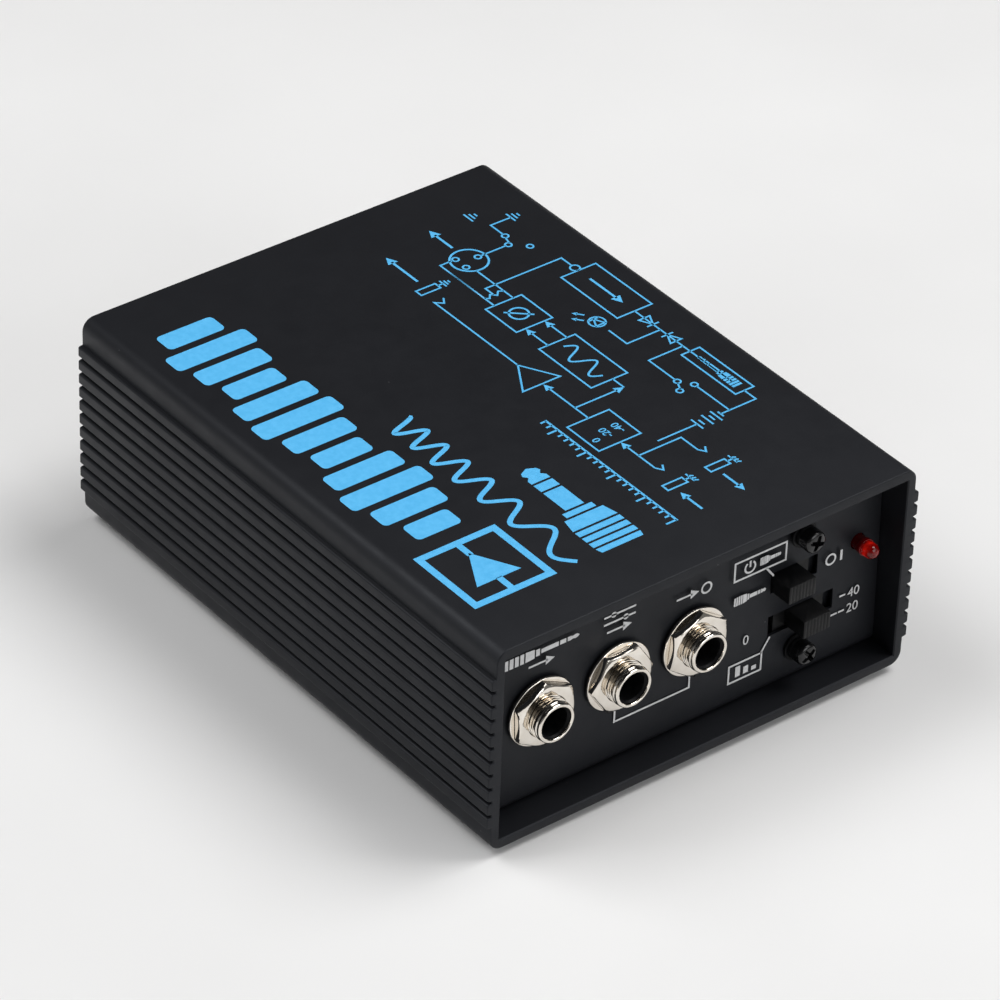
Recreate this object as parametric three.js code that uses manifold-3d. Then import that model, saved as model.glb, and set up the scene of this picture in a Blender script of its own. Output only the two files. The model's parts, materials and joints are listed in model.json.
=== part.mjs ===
// An active direct injection box: an extruded sleeve around a folded steel chassis, with three
// phone jacks and two slide switches in front, and a three-pin connector and two slide
// switches behind. Its battery sits behind a hinged cover in the underside.
//
// Millimetres. X points right as seen from the front, Y from front to rear, Z up. The origin is
// under the middle of the case, on the surface that the feet stand on.

import * as THREE from "three";
import { mergeVertices } from "three/addons/utils/BufferGeometryUtils.js";
import Module from "manifold-3d";

// ---- Driving dimensions ----

const caseWidth = 110; // over the flat sides, without the ribs
const caseDepth = 144.8;
const caseHeight = 50.4; // without the feet
const caseCornerRadius = 3;
const topWall = 2.6;
const bottomWall = 2.4;
const sideWall = 2.2;
const footHeight = 2;
const footRadius = 6;

const ribCount = 11;
const ribPitch = 3.49;
const ribRise = 1.1;
const ribCrownHalf = 1; // half of the flat part of its crown
const ribShoulder = 0.35; // radius between the crown and the flanks
const ribTurn = (75 * Math.PI) / 180; // from the crown to a flank

const sheet = 1; // thickness of the chassis
const screwHoleRadius = 1.7;
const caseScrewHoleRadius = 1.8;
const foldRadius = 2; // outside of the chassis folds
const panelRecess = 6.5; // how far each panel stands back from the end of the sleeve
const looseFit = 0.3; // between the chassis and the sleeve
const stackGap = 0.05; // between faces that rest on each other

const jackSpacing = 20;
const firstJackX = -38.3;
const jackZ = 27;
const bushRadius = 4.75; // 3/8 inch thread
const plugBoreRadius = 3.4;
const nutAcrossFlats = 14;
const nutThickness = 1.8;
const jackWasherRadius = 8.2;
const jackWasherThickness = 0.7;
const bushBeyondNut = 3.1;
const nutTurns = { unbalanced: 33, link: 3, input: 25 }; // degrees

const knobWidth = 7.2;
const knobHeight = 4.3;
const knobReach = 5.2; // in front of the panel
const gripRidges = 8;
const gripDepth = 0.2;
const shutterHalfWidth = 6.8; // the slider's own shutter, just behind the panel
const shutterHalfHeight = 2.9;
const switchStep = 5; // from one switch position to the next
const slotHeight = 5;
const slotEndPlay = 0.25;
const switchPlateDepth = 2.3; // from the panel's face to the switch plate
const switchPlateThickness = 0.8;

const padSwitchX = 31.4;
const padSwitchZ = 21.05;
const powerSwitchX = 29.1;
const powerSwitchZ = 31.95;
const frontScrewX = 30.3;
const frontScrewZ = { upper: 42.1, lower: 13.05 };

const ledX = 46.5;
const ledZ = 32.9;
const ledRadius = 1.75;
const ledReach = 5.3; // in front of the panel
const ledCollar = 0.2; // how far the collar stands out from the body of the indicator

const rearCentreZ = 27.2;
const outputX = 24;
const outputHoleRadius = 11.5;
const outputScrewOffsets = [[-9.5, 12], [9.5, -12]]; // from the connector's axis
const rearSwitchX = { phase: -12, ground: -34 };
const rearPlateX = [-50.5, 4.5];
const rearPlateZ = [20, 34.4];
const rearScrewX = { left: 1.4, right: -47.4 };

const batteryOpeningX = 31.6; // half of the opening in the underside
const batteryOpeningY = [8.4, 43.1];
const coverHingeY = 10.2;
const coverHingeZ = 3.9;

// ---- Places that follow from them ----

const caseFloor = footHeight;
const caseTop = footHeight + caseHeight;
const frontEdge = -caseDepth / 2;
const frontFace = frontEdge + panelRecess; // the front panel's outer face
const rearFace = -frontFace;
const floorUnder = caseFloor + bottomWall + looseFit; // under the chassis floor
const floorTop = floorUnder + sheet;
const chassisHalfWidth = caseWidth / 2 - sideWall - looseFit;
const chassisTop = caseTop - topWall - looseFit - 0.1;
const jackX = {
  unbalanced: firstJackX,
  link: firstJackX + jackSpacing,
  input: firstJackX + 2 * jackSpacing,
};
const postSpots = [[-48, -52], [48, -46], [-48, 3], [48, 3]];
const boardZ = [14, 15.6];

const object = new THREE.Group();
object.name = "direct_injection_box";

// ---- Solids ----

const wasm = await Module();
wasm.setup();

function toSolid(geometry) {
  const bare = geometry.clone();
  bare.deleteAttribute("normal");
  bare.deleteAttribute("uv");
  const merged = mergeVertices(bare, 1e-4);
  return new wasm.Manifold(new wasm.Mesh({
    numProp: 3,
    vertProperties: merged.attributes.position.array,
    triVerts: new Uint32Array(merged.index.array),
  }));
}

function toGeometry(solid) {
  const mesh = solid.getMesh();
  const geometry = new THREE.BufferGeometry();
  geometry.setAttribute("position", new THREE.BufferAttribute(new Float32Array(mesh.vertProperties), 3));
  geometry.setIndex(new THREE.BufferAttribute(new Uint32Array(mesh.triVerts), 1));
  geometry.computeVertexNormals();
  return geometry;
}

function join(first, ...others) {
  return toGeometry(others.reduce((solid, other) => solid.add(toSolid(other)), toSolid(first)));
}

function cut(body, ...tools) {
  return toGeometry(tools.reduce((solid, tool) => solid.subtract(toSolid(tool)), toSolid(body)));
}

// A block between two limits on each axis.
function block([x0, x1], [y0, y1], [z0, z1]) {
  const box = new THREE.BoxGeometry(x1 - x0, y1 - y0, z1 - z0);
  return box.translate((x0 + x1) / 2, (y0 + y1) / 2, (z0 + z1) / 2);
}

// A round bar along Y between two depths.
function bar(radius, [y0, y1], x = 0, z = 0, sides = 20) {
  return new THREE.CylinderGeometry(radius, radius, y1 - y0, sides).translate(x, (y0 + y1) / 2, z);
}

// A round bar along Z between two heights.
function post(radius, [z0, z1], x = 0, y = 0, sides = 20) {
  const upright = new THREE.CylinderGeometry(radius, radius, z1 - z0, sides).rotateX(Math.PI / 2);
  return upright.translate(x, y, (z0 + z1) / 2);
}

// A round bar along X.
function rod(radius, [x0, x1], y = 0, z = 0, sides = 16) {
  const lying = new THREE.CylinderGeometry(radius, radius, x1 - x0, sides).rotateZ(Math.PI / 2);
  return lying.translate((x0 + x1) / 2, y, z);
}

// An outline in X and Z, extruded from one depth to another.
function alongY(shape, [y0, y1], curveSegments = 4) {
  const solid = new THREE.ExtrudeGeometry(shape, { depth: y1 - y0, bevelEnabled: false, curveSegments });
  return solid.rotateX(Math.PI / 2).translate(0, y1, 0);
}

// An outline in Y and Z, extruded from one X to another.
function alongX(shape, [x0, x1], curveSegments = 4) {
  const solid = new THREE.ExtrudeGeometry(shape, { depth: x1 - x0, bevelEnabled: false, curveSegments });
  const axes = [new THREE.Vector3(0, 1, 0), new THREE.Vector3(0, 0, 1), new THREE.Vector3(1, 0, 0)];
  return solid.applyMatrix4(new THREE.Matrix4().makeBasis(...axes)).translate(x0, 0, 0);
}

// A profile of [radius, depth] points turned about the Y axis.
function turned(profile, sides = 20) {
  return new THREE.LatheGeometry(profile.map(([r, y]) => new THREE.Vector2(r, y)), sides);
}

function roundedRectangle([x0, x1], [y0, y1], radius) {
  const shape = new THREE.Shape();
  shape.moveTo(x0 + radius, y0);
  shape.lineTo(x1 - radius, y0);
  shape.absarc(x1 - radius, y0 + radius, radius, -Math.PI / 2, 0);
  shape.lineTo(x1, y1 - radius);
  shape.absarc(x1 - radius, y1 - radius, radius, 0, Math.PI / 2);
  shape.lineTo(x0 + radius, y1);
  shape.absarc(x0 + radius, y1 - radius, radius, Math.PI / 2, Math.PI);
  shape.lineTo(x0, y0 + radius);
  shape.absarc(x0 + radius, y0 + radius, radius, Math.PI, 1.5 * Math.PI);
  return shape;
}

// ---- Finishes ----

function finish(color, roughness, metalness = 0) {
  return new THREE.MeshStandardMaterial({ color, roughness, metalness });
}

const blackCoat = () => finish(0x1b1c20, 0.55, 0.1);
const nickel = () => finish(0xd8d2c4, 0.12, 1);
const blackScrew = () => finish(0x0c0c0d, 0.2, 0.6);
const blackPlastic = () => finish(0x141416, 0.4);
const greySteel = () => finish(0x6a6d70, 0.45, 0.8);
const darkRubber = () => finish(0x161616, 0.85);

function place(name, geometry, material, parent = object) {
  const mesh = new THREE.Mesh(geometry, material);
  mesh.name = name;
  parent.add(mesh);
  return mesh;
}

// ---- The sleeve ----

// A column of ribs up one side, each with a flat crown, round shoulders and steep flanks:
// side is 1 on the right and -1 on the left.
function addRibs(shape, side) {
  const wallX = (side * caseWidth) / 2;
  const shoulderX = wallX + side * (ribRise - ribShoulder);
  const facing = side > 0 ? 0 : Math.PI;
  const flankDepth = ribRise - ribShoulder * (1 - Math.cos(ribTurn));
  const footHalf = ribCrownHalf + ribShoulder * Math.sin(ribTurn) + flankDepth / Math.tan(ribTurn);
  for (let rib = 0; rib < ribCount; rib += 1) {
    const z = (caseFloor + caseTop) / 2 + side * (rib - (ribCount - 1) / 2) * ribPitch;
    shape.lineTo(wallX, z - side * footHalf);
    shape.absarc(shoulderX, z - side * ribCrownHalf, ribShoulder, facing - ribTurn, facing);
    shape.absarc(shoulderX, z + side * ribCrownHalf, ribShoulder, facing, facing + ribTurn);
    shape.lineTo(wallX, z + side * footHalf);
  }
}

function sleeveOutline() {
  const half = caseWidth / 2;
  const r = caseCornerRadius;
  const shape = new THREE.Shape();
  shape.moveTo(-half + r, caseFloor);
  shape.absarc(half - r, caseFloor + r, r, -Math.PI / 2, 0);
  addRibs(shape, 1);
  shape.absarc(half - r, caseTop - r, r, 0, Math.PI / 2);
  shape.absarc(-half + r, caseTop - r, r, Math.PI / 2, Math.PI);
  addRibs(shape, -1);
  shape.absarc(-half + r, caseFloor + r, r, Math.PI, 1.5 * Math.PI);
  const inside = half - sideWall;
  shape.holes.push(roundedRectangle([-inside, inside], [caseFloor + bottomWall, caseTop - topWall], 0.5));
  return shape;
}

const caseScrewSpots = {
  front_left: [-40, -48],
  front_right: [40, -48],
  rear_left: [-40, 52],
  rear_right: [40, 52],
};

// The battery opening and the case screws' holes, through a floor between two heights.
function floorHoles([z0, z1]) {
  const through = [z0 - 1, z1 + 1];
  return [
    block([-batteryOpeningX, batteryOpeningX], batteryOpeningY, through),
    ...Object.values(caseScrewSpots).map(([x, y]) => post(caseScrewHoleRadius, through, x, y, 12)),
  ];
}

function addSleeve() {
  const tube = alongY(sleeveOutline(), [frontEdge, -frontEdge]);
  place("case_sleeve", cut(tube, ...floorHoles([caseFloor, caseFloor + bottomWall])), blackCoat());
}

// ---- The chassis: front panel, floor and rear panel folded from one sheet ----

function chassisOutline() {
  const inner = foldRadius - sheet;
  const shape = new THREE.Shape();
  shape.moveTo(frontFace, chassisTop);
  shape.absarc(frontFace + foldRadius, floorUnder + foldRadius, foldRadius, Math.PI, 1.5 * Math.PI);
  shape.absarc(rearFace - foldRadius, floorUnder + foldRadius, foldRadius, 1.5 * Math.PI, 2 * Math.PI);
  shape.lineTo(rearFace, chassisTop);
  shape.lineTo(rearFace - sheet, chassisTop);
  shape.absarc(rearFace - foldRadius, floorUnder + foldRadius, inner, 0, -Math.PI / 2, true);
  shape.absarc(frontFace + foldRadius, floorUnder + foldRadius, inner, 1.5 * Math.PI, Math.PI, true);
  shape.lineTo(frontFace + sheet, chassisTop);
  return shape;
}

function slotCutter(x, z, steps, [y0, y1]) {
  const half = (knobWidth + steps * switchStep) / 2 + slotEndPlay;
  return block([x - half, x + half], [y0, y1], [z - slotHeight / 2, z + slotHeight / 2]);
}

function frontHoles() {
  const through = [frontFace - 1, frontFace + sheet + 1];
  return [
    ...Object.values(jackX).map((x) => bar(bushRadius + 0.25, through, x, jackZ)),
    slotCutter(powerSwitchX, powerSwitchZ, 1, through),
    slotCutter(padSwitchX, padSwitchZ, 2, through),
    ...Object.values(frontScrewZ).map((z) => bar(screwHoleRadius, through, frontScrewX, z, 16)),
    bar(ledRadius + 0.25, through, ledX, ledZ, 16),
  ];
}

function rearHoles() {
  const through = [rearFace - sheet - 1, rearFace + 1];
  return [
    bar(outputHoleRadius, through, outputX, rearCentreZ, 32),
    ...outputScrewOffsets.map(([x, z]) => (
      bar(screwHoleRadius, through, outputX + x, rearCentreZ + z, 16)
    )),
    ...Object.values(rearSwitchX).map((x) => slotCutter(x, rearCentreZ, 1, through)),
    ...Object.values(rearScrewX).map((x) => bar(screwHoleRadius, through, x, rearCentreZ, 16)),
  ];
}

function addChassis() {
  const boardPosts = postSpots.flatMap(([x, y]) => [
    post(2.6, [floorUnder + 0.2, boardZ[0] - stackGap], x, y, 16),
    post(1.2, [floorUnder + 0.4, boardZ[1] + 1], x, y, 12),
  ]);
  const folded = alongX(chassisOutline(), [-chassisHalfWidth, chassisHalfWidth]);
  const openings = [...frontHoles(), ...rearHoles(), ...floorHoles([floorUnder, floorTop])];
  place("chassis", cut(join(folded, ...boardPosts), ...openings), blackCoat());
}

// ---- Feet and the screws that hold the sleeve on the chassis ----

const footSpots = {
  front_left: [-44, -60],
  front_right: [44, -60],
  rear_left: [-44, 62],
  rear_right: [44, 62],
};

function addFeet() {
  const top = footHeight - stackGap;
  for (const [corner, [x, y]] of Object.entries(footSpots)) {
    const pad = turned([[0, 0], [footRadius - 0.4, 0], [footRadius, 0.5], [footRadius, top], [0, top]]);
    place(`foot_${corner}`, pad.rotateX(Math.PI / 2), darkRubber()).position.set(x, y, 0);
  }
}

function addCaseScrews() {
  const headTop = caseFloor - stackGap;
  for (const [corner, [x, y]] of Object.entries(caseScrewSpots)) {
    const head = turned([[0, 0.3], [2, 0.3], [2.8, 0.9], [2.8, headTop], [0, headTop]], 14);
    const screw = join(head.rotateX(Math.PI / 2), post(1.4, [headTop - 0.3, 8.6], 0, 0, 10));
    place(`case_screw_${corner}`, screw, blackScrew()).position.set(x, y, 0);
  }
}

// ---- Phone jacks ----

// Each jack is built about its own axis, with y = 0 on the panel's outer face.
function addJack(name, nutTurn) {
  const jack = new THREE.Group();
  jack.position.set(jackX[name], frontFace, jackZ);
  object.add(jack);

  const washerFront = -stackGap - jackWasherThickness;
  const nutFront = washerFront - stackGap - nutThickness;
  const tip = nutFront - bushBeyondNut;
  const bodyFront = sheet + stackGap;
  const bodyBack = 26.5;

  const washer = cut(
    bar(jackWasherRadius, [washerFront, -stackGap], 0, 0, 28),
    bar(bushRadius + 0.3, [-3, 2]),
  );
  place(`jack_washer_${name}`, washer, nickel(), jack);

  const nut = cut(
    bar(nutAcrossFlats / Math.sqrt(3), [nutFront, nutFront + nutThickness], 0, 0, 6),
    bar(bushRadius + 0.2, [nutFront - 1, 0]),
  );
  // A six-sided bar has a corner on +Z; the turn is measured from +X towards +Z.
  place(`jack_nut_${name}`, nut.rotateY(THREE.MathUtils.degToRad(90 - nutTurn)), nickel(), jack);

  const bushProfile = [
    [plugBoreRadius, bodyFront], [plugBoreRadius, tip + 0.5], [plugBoreRadius + 0.5, tip],
    [bushRadius - 0.4, tip], [bushRadius, tip + 0.4], [bushRadius, bodyFront], [plugBoreRadius, bodyFront],
  ];
  place(`jack_bush_${name}`, turned(bushProfile), nickel(), jack);

  const inBody = [bodyFront - 1, bodyBack - 1.5];
  const body = cut(
    block([-8, 8], [bodyFront + stackGap, bodyBack], [boardZ[1] + stackGap - jackZ, 7.5]),
    bar(plugBoreRadius, inBody),
    block([-1.8, 1.8], [12, bodyBack - 1.5], [0, 6.3]),
  );
  place(`jack_body_${name}`, body, blackPlastic(), jack);

  // The tip contact is a sprung strip in the slot above the bore.
  const strip = new THREE.Shape();
  strip.moveTo(12.4, 5.2);
  strip.lineTo(16.6, 5.2);
  strip.lineTo(19.4, 2.5);
  strip.lineTo(21.8, 4.2);
  strip.lineTo(21.8, 4.7);
  strip.lineTo(19.4, 3.1);
  strip.lineTo(17, 5.7);
  strip.lineTo(12.4, 5.7);
  place(`jack_tip_contact_${name}`, alongX(strip, [-1.4, 1.4]), greySteel(), jack);
}

// ---- Slide switches ----

// A switch faces -Y, with y = 0 on the panel's outer face and x = 0 at the middle of its slot.
// step says where the knob is at rest, counted from the middle in switch steps.
function addSlideSwitch(name, steps, step, place3, turn = 0) {
  const unit = new THREE.Group();
  unit.position.set(...place3);
  unit.rotation.z = turn;
  object.add(unit);

  const travel = (steps * switchStep) / 2;
  const bodyFront = switchPlateDepth + switchPlateThickness + stackGap;
  const bodyBack = bodyFront + 7.6;
  const pocket = travel + 3.9;
  const shell = block([-pocket - 1.2, pocket + 1.2], [bodyFront, bodyBack], [-4.2, 4.2]);
  const hollow = block([-pocket, pocket], [bodyFront - 1, bodyFront + 4.6], [-3.1, 3.1]);
  const legs = [];
  for (let column = 0; column < steps + 2; column += 1) {
    const x = (column - (steps + 1) / 2) * 4;
    for (const z of [-2, 2]) {
      legs.push(block([x - 0.5, x + 0.5], [bodyBack - 0.5, bodyBack + 3], [z - 0.2, z + 0.2]));
    }
  }
  place(`${name}_switch_body`, join(cut(shell, hollow), ...legs), blackPlastic(), unit);

  const grip = gripKnob([-knobReach, switchPlateDepth - 0.3]);
  const shutter = block(
    [-shutterHalfWidth, shutterHalfWidth],
    [sheet + 0.15, switchPlateDepth - 0.4],
    [-shutterHalfHeight, shutterHalfHeight],
  );
  const stem = block([-2, 2], [0, bodyFront + 1], [-1.3, 1.3]);
  const base = block([-3.4, 3.4], [bodyFront + 0.4, bodyFront + 3.8], [-2.7, 2.7]);
  const slider = join(grip, shutter, stem, base).translate(step * switchStep, 0, 0);
  place(`${name}_switch_slider`, slider, blackPlastic(), unit);
}

// The knob's front carries upright grip ridges.
function gripKnob([front, back]) {
  const half = knobWidth / 2;
  const pitch = knobWidth / (gripRidges + 0.5);
  const outline = new THREE.Shape();
  outline.moveTo(-half, back);
  outline.lineTo(-half, front);
  for (let ridge = 0; ridge < gripRidges; ridge += 1) {
    const x = -half + ridge * pitch;
    outline.lineTo(x + pitch * 0.5, front);
    outline.lineTo(x + pitch * 0.65, front + gripDepth);
    outline.lineTo(x + pitch * 0.85, front + gripDepth);
    outline.lineTo(x + pitch, front);
  }
  outline.lineTo(half, front);
  outline.lineTo(half, back);
  const knob = new THREE.ExtrudeGeometry(outline, { depth: knobHeight, bevelEnabled: false });
  return knob.translate(0, 0, -knobHeight / 2);
}

// The stem's way through a switch plate.
function stemSlot(x, z, steps, depths) {
  const half = (steps * switchStep) / 2 + 2.4;
  return block([x - half, x + half], depths, [z - 1.7, z + 1.7]);
}

function addSwitchPlates() {
  const frontDepths = [frontFace + switchPlateDepth, frontFace + switchPlateDepth + switchPlateThickness];
  const rearDepths = [-frontDepths[1], -frontDepths[0]];
  const frontPlate = cut(
    block([19.4, 44], frontDepths, [9.4, 46]),
    stemSlot(powerSwitchX, powerSwitchZ, 1, frontDepths.map((y, i) => y + (2 * i - 1))),
    stemSlot(padSwitchX, padSwitchZ, 2, frontDepths.map((y, i) => y + (2 * i - 1))),
    ...Object.values(frontScrewZ).map((z) => bar(1.55, [frontFace, frontFace + 6], frontScrewX, z, 16)),
  );
  place("front_switch_plate", frontPlate, blackCoat());
  const rearPlate = cut(
    block(rearPlateX, rearDepths, rearPlateZ),
    ...Object.values(rearSwitchX).map((x) => stemSlot(x, rearCentreZ, 1, [rearFace - 6, rearFace])),
    ...Object.values(rearScrewX).map((x) => bar(1.55, [rearFace - 6, rearFace], x, rearCentreZ, 16)),
  );
  place("rear_switch_plate", rearPlate, blackCoat());
}

// A pan-head screw along Y: its head's underside is at y = 0 and its head points to -Y.
function panScrew(headRadius, headHeight, shankRadius, length) {
  const crown = [[0, -headHeight], [headRadius * 0.7, -headHeight], [headRadius, -headHeight * 0.6]];
  const head = turned([...crown, [headRadius, 0], [0, 0]], 14);
  return join(head, bar(shankRadius, [-0.4, length], 0, 0, 10));
}

function addFrontScrews() {
  const flatFront = -stackGap - 0.5;
  const springFront = flatFront - stackGap - 0.9;
  for (const [level, z] of Object.entries(frontScrewZ)) {
    const stack = new THREE.Group();
    stack.position.set(frontScrewX, frontFace, z);
    object.add(stack);
    const hole = bar(screwHoleRadius, [-3, 1], 0, 0, 16);
    const flat = cut(bar(3.2, [flatFront, -stackGap]), hole);
    place(`flat_washer_${level}`, flat, blackScrew(), stack);
    const gap = block([0.6, 4], [-3, 1], [-0.35, 0.35]);
    const ring = cut(bar(2.6, [springFront, springFront + 0.9]), hole, gap);
    place(`spring_washer_${level}`, ring, blackScrew(), stack);
    const screw = panScrew(2.6, 3.1, 1.35, 5.6).translate(0, springFront - stackGap, 0);
    place(`front_screw_${level}`, screw, blackScrew(), stack);
  }
}

function addRearScrews() {
  for (const [side, x] of Object.entries(rearScrewX)) {
    const screw = panScrew(2.75, 2, 1.35, 5.5).rotateZ(Math.PI);
    place(`rear_screw_${side}`, screw, blackScrew()).position.set(x, rearFace + stackGap, rearCentreZ);
  }
}

// ---- Indicator ----

function addLed() {
  const dome = [[0, -ledReach]];
  const steps = 4;
  for (let step = 1; step <= steps; step += 1) {
    const angle = (step / steps) * (Math.PI / 2);
    dome.push([ledRadius * Math.sin(angle), -ledReach + ledRadius * (1 - Math.cos(angle))]);
  }
  const collar = ledRadius + ledCollar;
  dome.push([ledRadius, -2.2], [collar, -2.2], [collar, -1], [ledRadius, -1], [ledRadius, 2], [0, 2]);
  const legs = [-1.27, 1.27].flatMap((x) => [
    block([x - 0.25, x + 0.25], [1.5, 7], [-0.25, 0.25]),
    block([x - 0.25, x + 0.25], [6.5, 7], [boardZ[1] + stackGap - ledZ, 0.25]),
  ]);
  const led = place("power_led", join(turned(dome, 14), ...legs), finish(0xc01008, 0.15));
  led.position.set(ledX, frontFace, ledZ);
}

// ---- Output connector ----

function addOutputConnector() {
  const connector = new THREE.Group();
  connector.position.set(outputX, rearFace, rearCentreZ);
  connector.rotation.z = Math.PI;
  object.add(connector);

  // Within the group, -Y points out of the rear panel.
  const flangeFront = -1.65;
  const shellRadius = 11;
  const cavityRadius = 9.4;
  const insertFront = 12;
  const insertBack = 18.2;
  const flange = alongY(roundedRectangle([-13, 13], [-15.5, 15.5], 2.5), [flangeFront, -stackGap]);
  const screwHoles = outputScrewOffsets.map(([x, z]) => bar(screwHoleRadius, [-4, 3], -x, z, 16));
  const shell = cut(
    join(flange, bar(shellRadius, [-1, insertBack], 0, 0, 28)),
    bar(cavityRadius, [-4, insertBack + 1], 0, 0, 28),
    ...screwHoles,
  );
  place("output_shell", shell, nickel(), connector);

  const pins = [[-3.2, 1.8], [3.2, 1.8], [0, -3.4]];
  const pinHoles = pins.map(([x, z]) => bar(1.45, [insertFront - 1, insertBack + 1], x, z, 12));
  const insert = cut(bar(cavityRadius - 0.15, [insertFront, insertBack], 0, 0, 28), ...pinHoles);
  place("output_insert", insert, blackPlastic(), connector);
  pins.forEach(([x, z], index) => {
    const pin = turned([[0, 0.6], [0.7, 0.8], [1.2, 1.8], [1.2, 21], [0, 21]], 14).translate(x, 0, z);
    place(`output_pin_${index + 1}`, pin, nickel(), connector);
  });
  outputScrewOffsets.forEach(([x, z], index) => {
    const screw = panScrew(2.6, 1.6, 1.35, 7).translate(-x, flangeFront - stackGap, z);
    place(`output_screw_${index + 1}`, screw, blackScrew(), connector);
  });
}

// ---- Circuit board and the larger parts on it ----

function addBoard() {
  const outline = block([-50, 50], [-61, 8], boardZ);
  const holes = postSpots.map(([x, y]) => post(1.5, [boardZ[0] - 1, boardZ[1] + 1], x, y, 12));
  place("main_board", cut(outline, ...holes), finish(0x2f5a34, 0.5));

  const onBoard = boardZ[1] + stackGap;
  const core = block([-9, 9], [-8, 8], [0, 14]);
  const bobbin = block([-6.5, 6.5], [-9.6, 9.6], [2, 12]);
  place("output_transformer", join(core, bobbin), greySteel()).position.set(-26, -22, onBoard);

  const can = turned([[0, 0], [5, 0], [5, 1], [4.6, 1.5], [5, 2], [5, 15.6], [4.6, 16], [0, 16]], 16);
  place("supply_capacitor", can.rotateX(Math.PI / 2), finish(0x23304f, 0.35)).position.set(4, -20, onBoard);

  const chip = block([-4.9, 4.9], [-3.2, 3.2], [0.6, 4]);
  const legs = [-3.81, -1.27, 1.27, 3.81].flatMap((x) => [
    block([x - 0.25, x + 0.25], [-4, -3], [0, 2.4]),
    block([x - 0.25, x + 0.25], [3, 4], [0, 2.4]),
  ]);
  place("amplifier_chip", join(chip, ...legs), blackPlastic()).position.set(24, -24, onBoard);
}

// ---- Battery, its box and its cover ----

function addBattery() {
  const body = alongX(roundedRectangle([12.8, 39.3], [5.4, 22.9], 2), [-21.5, 24.9], 4);
  const small = rod(2.9, [-23.6, -21], 19.7, 14.2);
  const large = rod(3.8, [-23.6, -21], 32.4, 14.2, 6);
  place("battery", join(body, small, large), finish(0x3c4046, 0.35, 0.4));

  const plate = block([-28.4, -25.4], [13.2, 38.9], [8.2, 20.2]);
  const sockets = [19.7, 32.4].map((y) => rod(3.6, [-26, -23.9], y, 14.2));
  place("battery_snap", join(plate, ...sockets), blackPlastic());
}

function addBatteryBox() {
  const outer = block([-31.2, 31.2], [11.3, 42.7], [floorUnder + 0.1, 24.8]);
  const flange = block([-34, 34], [6, 45.2], [floorTop + stackGap, floorTop + 1.2]);
  const ears = [-27.6, 27.6].map((x) => block([x - 1, x + 1], [8.9, 11.6], [2.9, floorTop + 1]));
  const inner = block([-30, 30], [12.5, 41.5], [0, 23.6]);
  const swing = block([-26.4, 26.4], [5, 11.3], [0, floorTop + 0.6]);
  const pinHole = rod(0.95, [-35, 35], coverHingeY, coverHingeZ);
  const box = cut(join(outer, flange, ...ears), inner, swing, pinHole);
  place("battery_box", box, blackPlastic());
}

function addBatteryCover() {
  const plateZ = [2.6, 4.4];
  const edge = batteryOpeningX - 0.4;
  const plate = block([-edge, edge], [coverHingeY, batteryOpeningY[1] - 0.4], plateZ);
  const barrel = rod(1.3, [-26, 26], coverHingeY, coverHingeZ);
  const earRoom = [-27.8, 27.8].map((x) => block([x - 1.5, x + 1.5], [8, 12.1], [0, 8]));
  const cornerRoom = [-30.4, 30.4].map((x) => block([x - 1.5, x + 1.5], [8, 12.1], [0, 8]));
  const tongue = block([-5, 5], [39.9, 41.1], [4, 7.4]);
  const thumbCatch = block([-8, 8], [36.5, 39.5], [2, 3.3]);
  const grooves = [0, 1, 2].map((row) => block([-8, 8], [30 + 2 * row, 31 + 2 * row], [2, 3]));
  const bore = rod(0.9, [-35, 35], coverHingeY, coverHingeZ);
  const tools = [...earRoom, ...cornerRoom, thumbCatch, ...grooves, bore];
  place("battery_cover", cut(join(plate, barrel, tongue), ...tools), blackPlastic());
  place("battery_cover_pin", rod(0.6, [-28.4, 28.4], coverHingeY, coverHingeZ, 12), greySteel());
}

// ---- Assembly ----

addSleeve();
addChassis();
addFeet();
addCaseScrews();
Object.entries(nutTurns).forEach(([name, turn]) => addJack(name, turn));
addSwitchPlates();
addSlideSwitch("power", 1, -0.5, [powerSwitchX, frontFace, powerSwitchZ]);
addSlideSwitch("pad", 2, 0, [padSwitchX, frontFace, padSwitchZ]);
addSlideSwitch("phase", 1, -0.5, [rearSwitchX.phase, rearFace, rearCentreZ], Math.PI);
addSlideSwitch("ground", 1, -0.5, [rearSwitchX.ground, rearFace, rearCentreZ], Math.PI);
addFrontScrews();
addRearScrews();
addLed();
addOutputConnector();
addBoard();
addBattery();
addBatteryBox();
addBatteryCover();

export default object;
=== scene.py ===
"""Looks for the direct injection box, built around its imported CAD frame.

Shapes are worked out in millimetres in the object's own frame: X to the right as seen from the
front, Y from the front to the rear, Z up. make_object() turns them into metres.
"""

import json
import math

import bmesh
import bpy
from mathutils import Matrix, Vector


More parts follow.
